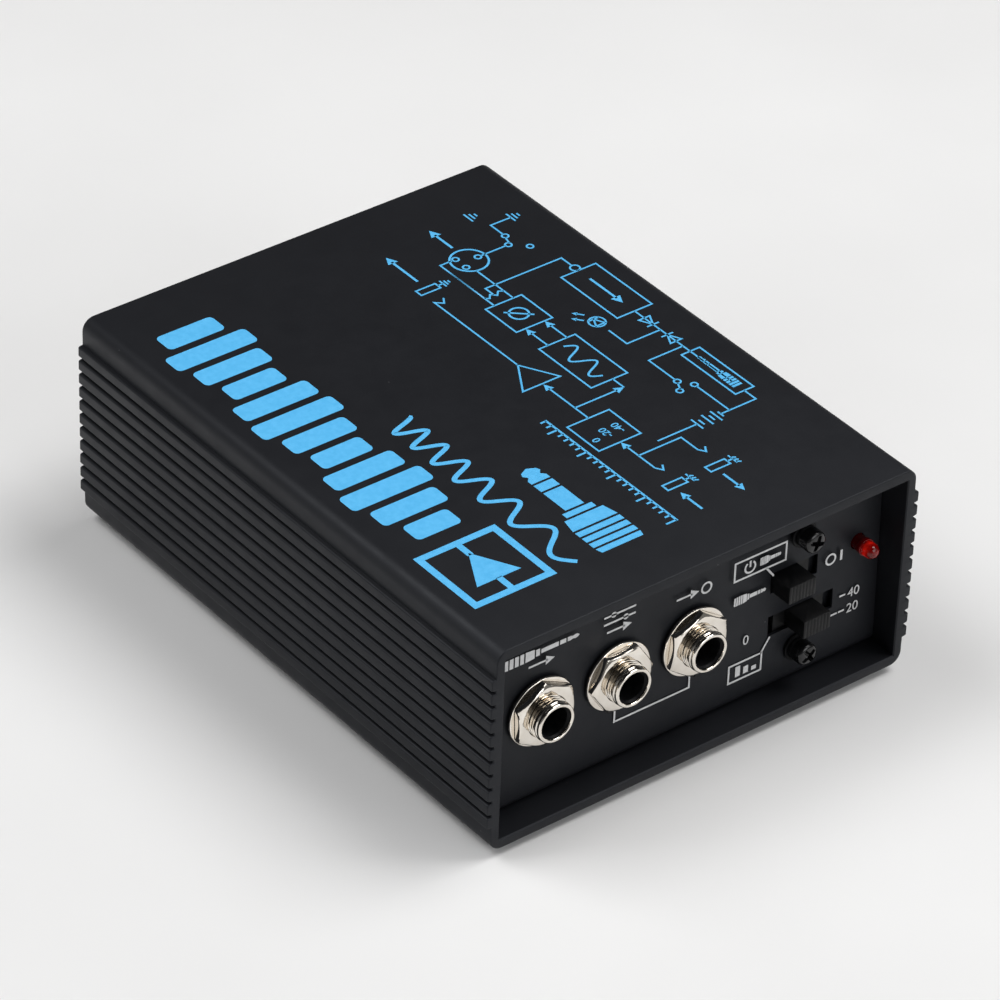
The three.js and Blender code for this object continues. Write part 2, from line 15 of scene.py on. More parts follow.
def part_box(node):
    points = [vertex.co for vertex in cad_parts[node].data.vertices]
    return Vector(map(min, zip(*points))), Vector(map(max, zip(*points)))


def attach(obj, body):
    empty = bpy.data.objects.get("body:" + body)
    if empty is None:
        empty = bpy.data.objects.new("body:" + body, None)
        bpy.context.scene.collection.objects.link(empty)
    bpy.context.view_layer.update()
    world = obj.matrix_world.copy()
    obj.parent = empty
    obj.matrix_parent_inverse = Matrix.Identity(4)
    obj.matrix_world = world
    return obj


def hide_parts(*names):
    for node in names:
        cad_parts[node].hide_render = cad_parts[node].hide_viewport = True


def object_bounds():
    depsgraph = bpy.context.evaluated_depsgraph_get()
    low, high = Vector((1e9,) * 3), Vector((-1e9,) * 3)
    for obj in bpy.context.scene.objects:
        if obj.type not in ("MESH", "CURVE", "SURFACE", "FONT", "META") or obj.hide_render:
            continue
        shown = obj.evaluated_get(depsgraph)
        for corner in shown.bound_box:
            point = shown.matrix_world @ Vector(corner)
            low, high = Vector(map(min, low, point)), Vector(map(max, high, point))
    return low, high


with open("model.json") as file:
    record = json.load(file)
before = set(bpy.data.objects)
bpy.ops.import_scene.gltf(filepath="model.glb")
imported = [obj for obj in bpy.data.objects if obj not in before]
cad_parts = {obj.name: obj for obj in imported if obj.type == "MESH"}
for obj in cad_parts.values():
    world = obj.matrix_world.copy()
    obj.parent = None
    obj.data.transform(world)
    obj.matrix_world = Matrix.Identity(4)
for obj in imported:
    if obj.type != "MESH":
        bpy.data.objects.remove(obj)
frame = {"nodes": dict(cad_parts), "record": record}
cad_low, cad_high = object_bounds()

MM = 0.001
CORNERS = ("front_left", "front_right", "rear_left", "rear_right")
JACKS = ("unbalanced", "link", "input")
SWITCHES = {"power": "front", "pad": "front", "phase": "rear", "ground": "rear"}
scene = bpy.context.scene


def box_mm(node):
    """Lowest and highest corner of a CAD node, in millimetres."""
    low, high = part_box(node)
    return low / MM, high / MM


def place_mm(node):
    """Centre and half size of a CAD node, in millimetres."""
    low, high = box_mm(node)
    return (low + high) / 2, (high - low) / 2


def centre_mm(node):
    return place_mm(node)[0]


sleeve_low, sleeve_high = box_mm("case_sleeve")
chassis_low, chassis_high = box_mm("chassis")
FRONT_EDGE = sleeve_low.y
REAR_EDGE = sleeve_high.y
CASE_TOP = sleeve_high.z
CASE_BOTTOM = sleeve_low.z
PANEL_FRONT = chassis_low.y
PANEL_REAR = chassis_high.y


# ---- Materials ----


class Shade:
    """A principled material and the texture nodes that feed it, in object space."""

    def __init__(self, name, **uniform):
        self.material = bpy.data.materials.new(name)
        self.material.use_nodes = True
        self.tree = self.material.node_tree
        self.shader = self.tree.nodes["Principled BSDF"]
        for label, value in uniform.items():
            socket = self.shader.inputs[label.replace("_", " ")]
            socket.default_value = (*value, 1) if socket.type == "RGBA" else value
        self.place = self.tree.nodes.new("ShaderNodeTexCoord").outputs["Object"]

    def node(self, kind, inputs=(), **settings):
        made = self.tree.nodes.new(kind)
        for key, value in settings.items():
            setattr(made, key, value)
        for key, value in dict(inputs).items():
            if isinstance(value, bpy.types.NodeSocket):
                self.tree.links.new(value, made.inputs[key])
            else:
                made.inputs[key].default_value = value
        return made

    def noise(self, size, detail=3, roughness=0.55, place=None):
        """Noise whose largest features are about size millimetres across."""
        inputs = {"Vector": place or self.place, "Scale": 1 / (size * MM), "Detail": detail,
                  "Roughness": roughness}
        return self.node("ShaderNodeTexNoise", inputs).outputs["Fac"]

    def cells(self, size):
        inputs = {"Vector": self.place, "Scale": 1 / (size * MM)}
        return self.node("ShaderNodeTexVoronoi", inputs).outputs["Distance"]

    def spread(self, source, low=0, high=1, start=0.35, end=0.65):
        """source from start to end becomes low to high."""
        inputs = {"Value": source, "From Min": start, "From Max": end, "To Min": low, "To Max": high}
        return self.node("ShaderNodeMapRange", inputs).outputs["Result"]

    def blend(self, factor, first, second):
        """A colour between first and second."""
        made = self.node("ShaderNodeMix", {"Factor": factor}, data_type="RGBA")
        for slot, value in ((6, first), (7, second)):
            if isinstance(value, bpy.types.NodeSocket):
                self.tree.links.new(value, made.inputs[slot])
            else:
                made.inputs[slot].default_value = (*value, 1)
        return made.outputs[2]

    def math(self, operation, first, second):
        return self.node("ShaderNodeMath", {0: first, 1: second}, operation=operation).outputs[0]

    def feed(self, label, source):
        self.tree.links.new(source, self.shader.inputs[label])

    def bump(self, height, depth, strength=0.5):
        """Raises the surface by height times depth, in millimetres."""
        inputs = {"Height": height, "Distance": depth * MM, "Strength": strength}
        self.feed("Normal", self.node("ShaderNodeBump", inputs).outputs["Normal"])


def coat_material():
    """Satin charcoal coat: a fine grain, a little cloudiness, and a few pale specks."""
    s = Shade("case_coat", Specular_IOR_Level=0.26, Specular_Tint=(0.90, 0.94, 1.0))
    cloud = s.noise(24, 2)
    grain = s.noise(0.22, 2, 0.7)
    base = s.blend(s.spread(cloud), (0.0062, 0.0065, 0.0084), (0.0078, 0.0082, 0.0104))
    base = s.blend(s.spread(grain, 0, 0.5), base, (0.0115, 0.0120, 0.0146))
    specks = s.spread(s.cells(9), 0.6, 0, 0.010, 0.022)
    s.feed("Base Color", s.blend(specks, base, (0.12, 0.12, 0.125)))
    s.feed("Roughness", s.spread(s.noise(5, 3), 0.48, 0.54))
    s.bump(grain, 0.010)
    return s.material


def mottled_material(name, patches, colours, haze, roughness, tooth, depth, strength=0.5, **uniform):
    """Patches of two colours and a haze of two roughnesses, over a fine tooth that is depth deep.

    patches, haze and tooth are each the size of a noise, in millimetres, and its detail. A tooth that
    is one number is the size of spark-eroded cells, as on a moulded piece.
    """
    s = Shade(name, **uniform)
    s.feed("Base Color", s.blend(s.spread(s.noise(*patches)), *colours))
    s.feed("Roughness", s.spread(s.noise(*haze), *roughness))
    s.bump(s.noise(*tooth) if isinstance(tooth, tuple) else s.cells(tooth), depth, strength)
    return s.material


def steel_material():
    s = Shade("zinc_plate", Metallic=1.0)
    film = s.noise(1.8, 4)
    s.feed("Base Color", s.blend(s.spread(film), (0.30, 0.31, 0.32), (0.44, 0.44, 0.43)))
    s.feed("Roughness", s.spread(film, 0.30, 0.46))
    rolled = s.node("ShaderNodeMapping", {"Vector": s.place, "Scale": (0.2, 1, 1)}).outputs[0]
    s.bump(s.noise(0.4, 2, 0.5, rolled), 0.004)
    return s.material


def plastic_material(name, colours, roughness, depth, gloss):
    return mottled_material(name, (4.5, 3), colours, (1.4, 3), roughness, 0.16, depth, 0.6,
                            Specular_IOR_Level=gloss)


def lens_material():
    """Deep red resin, with painted shade where it enters the panel and a painted glow where its dome
    begins.
    """
    s = Shade("red_resin", IOR=1.5, Specular_IOR_Level=0.42, Subsurface_Weight=0.2,
              Subsurface_Scale=0.0015, Subsurface_Radius=(1.0, 0.05, 0.03), Emission_Strength=0.32)
    cloud = s.noise(1.1, 2)
    along = s.node("ShaderNodeSeparateXYZ", {"Vector": s.place}).outputs["Y"]

    def front(distance):
        """The place that is distance millimetres in front of the panel."""
        return (PANEL_FRONT - distance) * MM

    # Painted shade: the resin turns near black where it enters the panel.
    root = s.spread(along, 0, 1, front(2.6), front(1.0))
    red = s.blend(s.spread(cloud), (0.10, 0.0, 0.0), (0.19, 0.001, 0.001))
    s.feed("Base Color", s.blend(root, red, (0.015, 0.0, 0.0)))
    # Painted glow: emission in a band where the dome begins, for light gathered in the resin.
    painted_glow_band = s.math("MINIMUM", s.spread(along, 0, 1, front(4.5), front(3.4)),
                    s.spread(along, 1, 0, front(3.1), front(2.0)))
    painted_glow = s.math("MULTIPLY", painted_glow_band, s.spread(cloud, 0.35, 1))
    s.feed("Emission Color", s.blend(painted_glow, (0.02, 0.0, 0.0), (1.0, 0.018, 0.008)))
    s.feed("Roughness", s.spread(cloud, 0.02, 0.05))
    s.bump(s.noise(0.8, 2), 0.002, 0.3)
    return s.material


def board_material():
    """Green solder mask over copper tracks that run along X."""
    s = Shade("solder_mask", Coat_Weight=0.4, Coat_Roughness=0.2)
    along_x = s.node("ShaderNodeTexWave", {"Vector": s.place, "Scale": 130.0, "Distortion": 3.0,
                                           "Detail": 1.0}, bands_direction="Y").outputs["Fac"]
    tracks = s.spread(along_x, 0, 1, 0.62, 0.68)
    s.feed("Base Color", s.blend(tracks, (0.012, 0.085, 0.030), (0.045, 0.22, 0.075)))
    s.feed("Roughness", s.spread(s.noise(2, 2), 0.28, 0.4))
    s.bump(tracks, 0.035, 0.7)
    return s.material


def film_material(name, colours, **uniform):
    """Printed or shrunk film over a round or boxed body."""
    return mottled_material(name, (5, 3), colours, (1.5, 3), (0.26, 0.42), (2.5, 2), 0.02,
                            Coat_Weight=0.3, Coat_Roughness=0.15, **uniform)


def ink_material(name, colours):
    """Screen-printed ink: slightly uneven cover, with a fine tooth from the coat under it."""
    return mottled_material(name, (1.3, 4), colours, (0.8, 2), (0.45, 0.6), (0.22, 2, 0.7), 0.006,
                            Specular_IOR_Level=0.35)


FINISHES = {
    "case_finish": coat_material(),
    "nickel": mottled_material(
        "nickel_plate", (2.6, 3), ((0.80, 0.745, 0.665), (0.86, 0.81, 0.74)), (2.6, 3), (0.05, 0.11),
        (0.9, 2), 0.0012, 0.4, Metallic=1.0),
    "black_screws": mottled_material(
        "black_plate", (1.1, 3), ((0.003, 0.003, 0.0035), (0.007, 0.007, 0.008)), (1.1, 3), (0.12, 0.22),
        (0.3, 2), 0.006),
    "steel": steel_material(),
    "knob_plastic": plastic_material(
        "knob_plastic", ((0.0022, 0.0023, 0.0026), (0.0045, 0.0046, 0.0052)), (0.36, 0.48), 0.006, 0.22),
    "black_plastic": plastic_material(
        "black_plastic", ((0.011, 0.011, 0.011), (0.015, 0.015, 0.015)), (0.48, 0.58), 0.012, 0.45),
    "rubber": mottled_material(
        "foot_rubber", (3, 3), ((0.012, 0.012, 0.012), (0.026, 0.026, 0.025)), (0.9, 3), (0.62, 0.85),
        (0.25, 3), 0.02, 0.7, Specular_IOR_Level=0.35),
    "red_lens": lens_material(),
    "board": board_material(),
    "capacitor_sleeve": film_material("capacitor_film", ((0.02, 0.035, 0.10), (0.035, 0.055, 0.14))),
    "battery_jacket": film_material(
        "battery_film", ((0.05, 0.055, 0.06), (0.10, 0.105, 0.11)), Metallic=0.6),
    "print_blue": ink_material("blue_ink", ((0.085, 0.44, 0.80), (0.11, 0.49, 0.86))),
    "print_white": ink_material("white_ink", ((0.58, 0.585, 0.59), (0.68, 0.685, 0.69))),
}
# The screws' plate on a blanked, tumbled washer is duller.
DULL_BLACK = mottled_material(
    "black_plate_dull", (0.9, 3), ((0.004, 0.004, 0.0045), (0.010, 0.010, 0.011)), (0.9, 3), (0.35, 0.55),
    (0.25, 2), 0.006, Specular_IOR_Level=0.12)


# ---- Outlines and solids ----


def softened(points, radius, steps=4):
    """A closed outline with each corner rounded; a corner on the axis (first value 0) stays."""
    rounded = []
    for index, point in enumerate(points):
        before, after = Vector(points[index - 1]), Vector(points[(index + 1) % len(points)])
        corner = Vector(point)
        reach = min(radius, (before - corner).length * 0.45, (after - corner).length * 0.45)
        if abs(corner.x) < 1e-6 or reach < 1e-4:
            rounded.append(tuple(corner))
            continue
        start = corner + (before - corner).normalized() * reach
        end = corner + (after - corner).normalized() * reach
        for step in range(steps + 1):
            t = step / steps
            rounded.append(tuple(start.lerp(corner, t).lerp(corner.lerp(end, t), t)))
    return rounded


def arc(centre, radius, start, end, steps):
    """Points on an arc, with its angles in degrees."""
    angles = [math.radians(start + (end - start) * k / steps) for k in range(steps + 1)]
    return [(centre[0] + radius * math.cos(a), centre[1] + radius * math.sin(a)) for a in angles]


def rounded_rectangle(half_width, half_height, radius, steps=6):
    w, h = half_width - radius, half_height - radius
    corners = [(w, h, 0), (-w, h, 90), (-w, -h, 180), (w, -h, 270)]
    return [p for x, y, turn in corners for p in arc((x, y), radius, turn, turn + 90, steps)]


def divided(outline, longest):
    """The same closed outline, with points added so that no edge is longer than longest."""
    points = []
    for k, point in enumerate(outline):
        start, end = Vector(point), Vector(outline[(k + 1) % len(outline)])
        parts = max(1, math.ceil((end - start).length / longest))
        points += [tuple(start.lerp(end, part / parts)) for part in range(parts)]
    return points


def loft(rings, ends="caps"):
    """Faces between rings of equal length. ends="caps" closes the two ends, "loop" joins them."""
    count = len(rings[0])
    vertices = [v for ring in rings for v in ring]
    pairs = list(zip(range(len(rings) - 1), range(1, len(rings))))
    if ends == "loop":
        pairs.append((len(rings) - 1, 0))
    faces = [
        (a * count + k, a * count + (k + 1) % count, b * count + (k + 1) % count, b * count + k)
        for a, b in pairs
        for k in range(count)
    ]
    if ends == "caps":
        faces.append(tuple(reversed(range(count))))
        faces.append(tuple(range((len(rings) - 1) * count, len(rings) * count)))
    return vertices, faces


def band(inner, outer, start, end):
    """The profile of a ring from one radius to another, and from start to end along its axis."""
    return [(inner, start), (outer, start), (outer, end), (inner, end)]


def turned(profile, sides=64):
    """A closed profile of (radius, y) turned about the Y axis."""
    rings = []
    for k in range(sides):
        angle = 2 * math.pi * k / sides
        rings.append([(r * math.cos(angle), y, r * math.sin(angle)) for r, y in profile])
    return loft(rings, "loop")


def drill(radius, start, end):
    """A cutter for a round hole along the Y axis."""
    return turned(band(0, radius, start, end), 32)


IDENTITY = Matrix.Identity(3)
UPRIGHT = Matrix.Rotation(math.radians(90), 3, "X")  # stands the Y axis up


def moved(shape, offset, turn=IDENTITY):
    """The same faces, turned by a matrix about the origin and then moved."""
    vertices, faces = shape
    return [tuple(turn @ Vector(v) + Vector(offset)) for v in vertices], faces


def together(*shapes):
    vertices, faces = [], []
    for more_vertices, more_faces in shapes:
        faces += [tuple(i + len(vertices) for i in face) for face in more_faces]
        vertices += more_vertices
    return vertices, faces


def block(low, high):
    (x0, y0, z0), (x1, y1, z1) = low, high
    return loft([[(x0, y, z0), (x1, y, z0), (x1, y, z1), (x0, y, z1)] for y in (y0, y1)])


def make_object(name, shape):
    vertices, faces = shape
    mesh = bpy.data.meshes.new(name)
    mesh.from_pydata([Vector(v) * MM for v in vertices], [], faces)
    tidy = bmesh.new()
    tidy.from_mesh(mesh)
    bmesh.ops.remove_doubles(tidy, verts=tidy.verts, dist=1e-7)
    bmesh.ops.dissolve_degenerate(tidy, edges=tidy.edges, dist=1e-8)
    bmesh.ops.recalc_face_normals(tidy, faces=tidy.faces)
    tidy.to_mesh(mesh)
    tidy.free()
    made = bpy.data.objects.new(name, mesh)
    scene.collection.objects.link(made)
    return made


def combine(target, operation, *shapes):
    """Cuts shapes from target, or joins them to it."""
    tools = [make_object(f"{target.name}_tool_{k}", shape) for k, shape in enumerate(shapes)]
    for tool in tools:
        step = target.modifiers.new("combine", "BOOLEAN")
        step.operation = operation
        step.solver = "EXACT"
        step.object = tool
    bpy.context.view_layer.update()
    evaluated = target.evaluated_get(bpy.context.evaluated_depsgraph_get())
    target.data = bpy.data.meshes.new_from_object(evaluated)
    target.modifiers.clear()
    for tool in tools:
        bpy.data.objects.remove(tool)


def finish_piece(target, slot, body="root", stands_for=(), sharp=32, material=None):
    """Shades the piece, gives it its material, and joins it to its body."""
    target.data.materials.clear()
    target.data.materials.append(material or FINISHES[slot])
    target.data.shade_smooth()
    target.data.set_sharp_from_angle(angle=math.radians(sharp))
    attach(target, body)
    if stands_for:
        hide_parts(*stands_for)


def make_piece(name, shape, slot, **rest):
    finish_piece(make_object(name, shape), slot, **rest)


# ---- Camera, floor and light ----

VIEW_AZIMUTH = -39.04  # degrees from straight in front, negative towards the left side
VIEW_ELEVATION = 35.66
VIEW_ROLL = 2.13
VIEW_DISTANCE = 1190.7
LENS = 201.5
AIM_OFFSET = Vector((1.3, -1.9, -1.05))  # from the middle of the object


def add_camera():
    azimuth, elevation, roll = (math.radians(a) for a in (VIEW_AZIMUTH, VIEW_ELEVATION, VIEW_ROLL))
    back = Vector((math.sin(azimuth) * math.cos(elevation), -math.cos(azimuth) * math.cos(elevation),
                   math.sin(elevation)))
    right = Vector((math.cos(azimuth), math.sin(azimuth), 0))
    level = Matrix((right, back.cross(right), back)).transposed()
    turn = (level @ Matrix.Rotation(roll, 3, "Z")).to_4x4()
    data = bpy.data.cameras.new("camera")
    data.lens = LENS
    data.sensor_width = 36
    camera = bpy.data.objects.new("camera", data)
    middle = (cad_low + cad_high) / 2 / MM
    camera.matrix_world = Matrix.Translation((middle + AIM_OFFSET + back * VIEW_DISTANCE) * MM) @ turn
    scene.collection.objects.link(camera)
    scene.camera = camera


def add_floor():
    s = Shade("floor_paper", Specular_IOR_Level=0.3)
    cloud = s.spread(s.noise(160, 3))
    s.feed("Base Color", s.blend(cloud, (0.80, 0.797, 0.795), (0.84, 0.838, 0.836)))
    s.feed("Roughness", s.spread(s.noise(3, 3), 0.5, 0.62))
    s.bump(s.noise(1.2, 3), 0.01, 0.4)
    half = 3000
    corners = [(-half, -half, 0), (half, -half, 0), (half, half, 0), (-half, half, 0)]
    sheet = make_object("floor", (corners, [(0, 1, 2, 3)]))
    sheet.data.materials.append(s.material)


SOFTBOX = 900  # side of each light
LIGHT_TARGET = Vector((0, 0, 25))


def add_light(name, place, power, colour):
    """A soft square light at place, in millimetres, facing the object. power is in watts."""
    data = bpy.data.lights.new(name, "AREA")
    data.shape = "RECTANGLE"
    data.size = data.size_y = SOFTBOX * MM
    data.energy = power
    data.color = colour
    light = bpy.data.objects.new(name, data)
    light.location = Vector(place) * MM
    light.rotation_mode = "QUATERNION"
    light.rotation_quaternion = (LIGHT_TARGET - Vector(place)).to_track_quat("-Z", "Y")
    scene.collection.objects.link(light)


SWEEP_FROM, SWEEP_TO = 12, 34  # degrees above the horizon
SWEEP_GLOW, CEILING_GLOW = 0.16, 0.02


def add_studio():
    """Surroundings that are bright up to a low height, like a paper sweep, and dim above it."""
    world = bpy.data.worlds.new("studio")
    world.use_nodes = True
    nodes, links = world.node_tree.nodes, world.node_tree.links
    ways = nodes.new("ShaderNodeSeparateXYZ")
    links.new(nodes.new("ShaderNodeTexCoord").outputs["Generated"], ways.inputs[0])
    fade = nodes.new("ShaderNodeMapRange")
    fade.interpolation_type = "SMOOTHSTEP"
    links.new(ways.outputs["Z"], fade.inputs["Value"])
    start, end = (math.sin(math.radians(a)) for a in (SWEEP_FROM, SWEEP_TO))
    settings = {"From Min": start, "From Max": end, "To Min": SWEEP_GLOW, "To Max": CEILING_GLOW}
    for label, value in settings.items():
        fade.inputs[label].default_value = value
    links.new(fade.outputs["Result"], nodes["Background"].inputs["Strength"])
    nodes["Background"].inputs["Color"].default_value = (1.0, 0.995, 0.985, 1)
    scene.world = world
    scene.view_settings.view_transform = "Standard"


def add_lights():
    """Two high boxes, right and left-rear, and three low ones that shape the bright metal."""
    add_light("high_right", (700, -300, 1400), 15.8, (1.0, 0.995, 0.99))
    add_light("high_left", (-700, 600, 1400), 13.2, (1.0, 1.0, 1.0))
    add_light("low_left", (-1500, 350, 700), 4.4, (0.98, 0.99, 1.0))
    add_light("low_front", (150, -1500, 700), 6.5, (0.98, 0.99, 1.0))
    add_light("low_right", (900, -1200, 900), 3.0, (1.0, 0.995, 0.99))


# ---- Sleeve ----

SIDE_WALL = 2.2
BOTTOM_WALL = 2.4
TOP_WALL = 2.6
CORNER_RADIUS = 3.0
RIB_COUNT = 11
RIB_PITCH = 3.49
RIB_RISE = 1.1
RIB_CROWN_HALF = 0.85  # half of the flat part of its crown
RIB_SHOULDER = 0.45
RIB_TURN = 80  # degrees from the crown to a flank
EDGE_ROUND = 0.3


def sleeve_outline(grow):
    """The outside of the sleeve, grown or shrunk by grow millimetres."""
    flat = sleeve_high.x - RIB_RISE
    shoulder_x, shoulder = sleeve_high.x - RIB_SHOULDER, RIB_SHOULDER + grow
    turn = math.radians(RIB_TURN)
    depth = shoulder_x + shoulder * math.cos(turn) - flat - grow
    foot = RIB_CROWN_HALF + shoulder * math.sin(turn) + depth / math.tan(turn)
    corner = (flat - CORNER_RADIUS, CASE_BOTTOM + CORNER_RADIUS)
    right = arc(corner, CORNER_RADIUS + grow, -90, 0, 8)
    for rib in range(RIB_COUNT):
        z = (CASE_BOTTOM + CASE_TOP) / 2 + (rib - (RIB_COUNT - 1) / 2) * RIB_PITCH
        right.append((flat + grow, z - foot))
        right += arc((shoulder_x, z - RIB_CROWN_HALF), shoulder, -RIB_TURN, 0, 6)
        right += arc((shoulder_x, z + RIB_CROWN_HALF), shoulder, 0, RIB_TURN, 6)
        right.append((flat + grow, z + foot))
    right += arc((corner[0], CASE_TOP - CORNER_RADIUS), CORNER_RADIUS + grow, 0, 90, 8)
    left = [(-x, z) for x, z in reversed(right)]
    return right + left


def sleeve_inside(grow):
    """The point of the inner wall nearest each point of the outline."""
    half = sleeve_high.x - RIB_RISE - SIDE_WALL + grow
    low, high = CASE_BOTTOM + BOTTOM_WALL - grow, CASE_TOP - TOP_WALL + grow
    return [(max(-half, min(half, x)), max(low, min(high, z))) for x, z in sleeve_outline(0)]


def add_sleeve():
    steps = [math.radians(a) for a in (90, 60, 30, 0)]
    front = [(EDGE_ROUND * (math.cos(a) - 1), EDGE_ROUND * (1 - math.sin(a))) for a in steps]
    rings = []
    for grow, inset in front:
        rings.append([(x, FRONT_EDGE + inset, z) for x, z in sleeve_outline(grow)])
    for grow, inset in reversed(front):
        rings.append([(x, REAR_EDGE - inset, z) for x, z in sleeve_outline(grow)])
    lip = 0.25
    for grow, y in ((lip, REAR_EDGE), (0, REAR_EDGE - lip), (0, FRONT_EDGE + lip), (lip, FRONT_EDGE)):
        rings.append([(x, y, z) for x, z in sleeve_inside(grow)])
    sleeve = make_object("sleeve", loft(rings, "loop"))
    cover_low, cover_high = box_mm("battery_cover")
    gap, front_gap, past, hole_radius = 0.4, 0.5, 2, 1.8
    opening = block((cover_low.x - gap, cover_low.y - front_gap, CASE_BOTTOM - past),
                    (cover_high.x + gap, cover_high.y + gap, CASE_BOTTOM + BOTTOM_WALL + past))
    holes = []
    for corner in CORNERS:
        spot = centre_mm(f"case_screw_{corner}")
        hole = drill(hole_radius, CASE_BOTTOM - past, CASE_BOTTOM + BOTTOM_WALL + past)
        holes.append(moved(hole, (spot.x, spot.y, 0), UPRIGHT))
    combine(sleeve, "DIFFERENCE", opening, *holes)
    finish_piece(sleeve, "case_finish", stands_for=("case_sleeve",))


# ---- Jacks ----

BUSH_RADIUS = 4.75
BORE_RADIUS = 3.4  # of the body's nose, which a plug goes through
MOUTH_RADIUS = 3.78  # of the bush, around that nose
THREAD_PITCH = 0.794
THREAD_DEPTH = 0.46


def add_jack_washer(jack):
    node = f"jack_washer_{jack}"
    centre, half = place_mm(node)
    profile = softened(band(BUSH_RADIUS + 0.3, half.x, -half.y, half.y), 0.24)
    make_piece(f"washer_{jack}", moved(turned(profile, 96), centre), "nickel", stands_for=(node,))


def corner_angle(node):
    """The angle from +X towards +Z of the corner furthest from a hexagon's axis."""
    centre = centre_mm(node)
    points = [v.co / MM - centre for v in frame["nodes"][node].data.vertices]
    furthest = max(points, key=lambda p: math.hypot(p.x, p.z))
    return math.atan2(furthest.z, furthest.x)


def add_jack_nut(jack):
    """A hexagon whose corners are taken down by a cone on the front face."""
    node = f"jack_nut_{jack}"
    low, high = box_mm(node)
    first_corner = corner_angle(node)
    flat_radius, bore, cone_radius = 7.0, BUSH_RADIUS + 0.15, 6.75
    slope = math.tan(math.radians(28))
    edge, chamfer, sides = 0.12, 0.25, 144
    shares = (0.04, 0.3, 0.55, 0.75, 0.88, 0.95, 0.985)  # of the way from the bore to the rim
    centre = centre_mm(node)

    def face(radius):
        """How far forward the front face reaches at a radius."""
        return low.y + max(0.0, radius - cone_radius) * slope

    rings = []
    for k in range(sides):
        angle = 2 * math.pi * k / sides
        from_flat = (angle - first_corner) % (math.pi / 3) - math.pi / 6
        rim = flat_radius / math.cos(from_flat)
        radii = [bore + (rim - edge - bore) * share for share in shares]
        ring = [(bore, high.y), (bore, low.y + chamfer)] + [(radius, face(radius)) for radius in radii]
        ring += [(rim, face(rim) + edge), (rim, high.y - edge), (rim - edge, high.y)]
        across, up = math.cos(angle), math.sin(angle)
        rings.append([(centre.x + r * across, y, centre.z + r * up) for r, y in ring])
    make_piece(f"nut_{jack}", loft(rings, "loop"), "nickel", stands_for=(node,), sharp=26)


def thread_profile(start, end):
    """Points (radius, y) along a thread's crests and roots, with a lead-in at its start."""
    # Along the pitch, and the height of the thread there.
    flanks = ((0.0, 1.0), (0.14, 1.0), (0.30, 0.25), (0.42, 0.0), (0.58, 0.0), (0.70, 0.25), (0.86, 1.0))
    points = []
    for turn in range(int((end - start) / THREAD_PITCH)):
        depth = THREAD_DEPTH * (0.45 if turn == 0 else 1.0)
        lead = 0.10 if turn == 0 else 0.0
        for share, height in flanks:
            radius = BUSH_RADIUS - lead * (1 - share) - depth * (1 - height)
            points.append((radius, start + (turn + share) * THREAD_PITCH))
    return points


def add_jack_bush(jack):
    """The threaded bush with its rounded lip, and the black nose of the jack's body inside it."""
    node = f"jack_bush_{jack}"
    centre, half = place_mm(node)
    front, back = -half.y, half.y
    bore = [(MOUTH_RADIUS, back), (MOUTH_RADIUS, front + 0.4), (MOUTH_RADIUS + 0.04, front + 0.2)]
    lip = [(MOUTH_RADIUS + 0.14, front + 0.04), (MOUTH_RADIUS + 0.24, front), (BUSH_RADIUS - 0.42, front),
           (BUSH_RADIUS - 0.32, front + 0.04), (BUSH_RADIUS - 0.14, front + 0.22)]
    thread = thread_profile(front + 0.40, back)
    profile = bore + lip + thread + [(BUSH_RADIUS - THREAD_DEPTH, back)]
    make_piece(f"bush_{jack}", moved(turned(profile, 96), centre), "nickel", stands_for=(node,), sharp=50)

    fit = 0.03
    nose = [(BORE_RADIUS, front + 1.0), (MOUTH_RADIUS - fit, front + 0.5), (MOUTH_RADIUS - fit, back),
            (BORE_RADIUS, back)]
    make_piece(f"nose_{jack}", moved(turned(nose, 96), centre), "black_plastic", material=DULL_BLACK)


# ---- Screws ----

SHANK = 1.35
# The height and radius of each kind of head, and the way it faces.
SCREW_KINDS = {"front": (3.1, 2.6, "front"), "rear": (2.0, 2.75, "rear"), "output": (1.6, 2.6, "rear"),
               "case": (1.65, 2.8, "down")}


def cross_cutter(reach, depth, top):
    """A tapered cross for a drive recess, opening towards -Y at top."""
    def cross(arm, half, y):
        blunt = half * 0.55
        quarter = [(arm, -blunt), (arm, blunt), (arm - half + blunt, half), (half, half)]
        corners = []
        for _ in range(4):
            corners += [(x, y, z) for x, z in quarter]
            quarter = [(-z, x) for x, z in quarter]
        return corners

    return loft([cross(reach * 1.06, reach * 0.34, top - 0.3), cross(reach, reach * 0.30, top),
                 cross(reach * 0.80, reach * 0.26, top + depth * 0.7),
                 cross(reach * 0.34, reach * 0.16, top + depth)])


def pan_screw(name, radius, head, length, turn):
    """A pan head with a cross recess, facing -Y, with its underside at y = 0."""
    # Shares of the radius and of the height, from the middle of the crown to its edge.
    shares = ((0, 1), (0.3, 0.995), (0.5, 0.985), (0.68, 0.96), (0.82, 0.915), (0.92, 0.85), (0.98, 0.77),
              (1, 0.68))
    crown = [(radius * across, -head * up) for across, up in shares]
    rim = [(radius, -0.15), (radius - 0.15, 0)]
    shank = [(SHANK, 0), (SHANK, length - 0.4), (SHANK - 0.4, length), (0, length)]
    screw = make_object(name, turned(crown + rim + shank, 56))
    cutter = cross_cutter(radius * 0.74, head * 0.62, -head)
    combine(screw, "DIFFERENCE", moved(cutter, (0, 0, 0), Matrix.Rotation(math.radians(turn), 3, "Y")))
    return screw


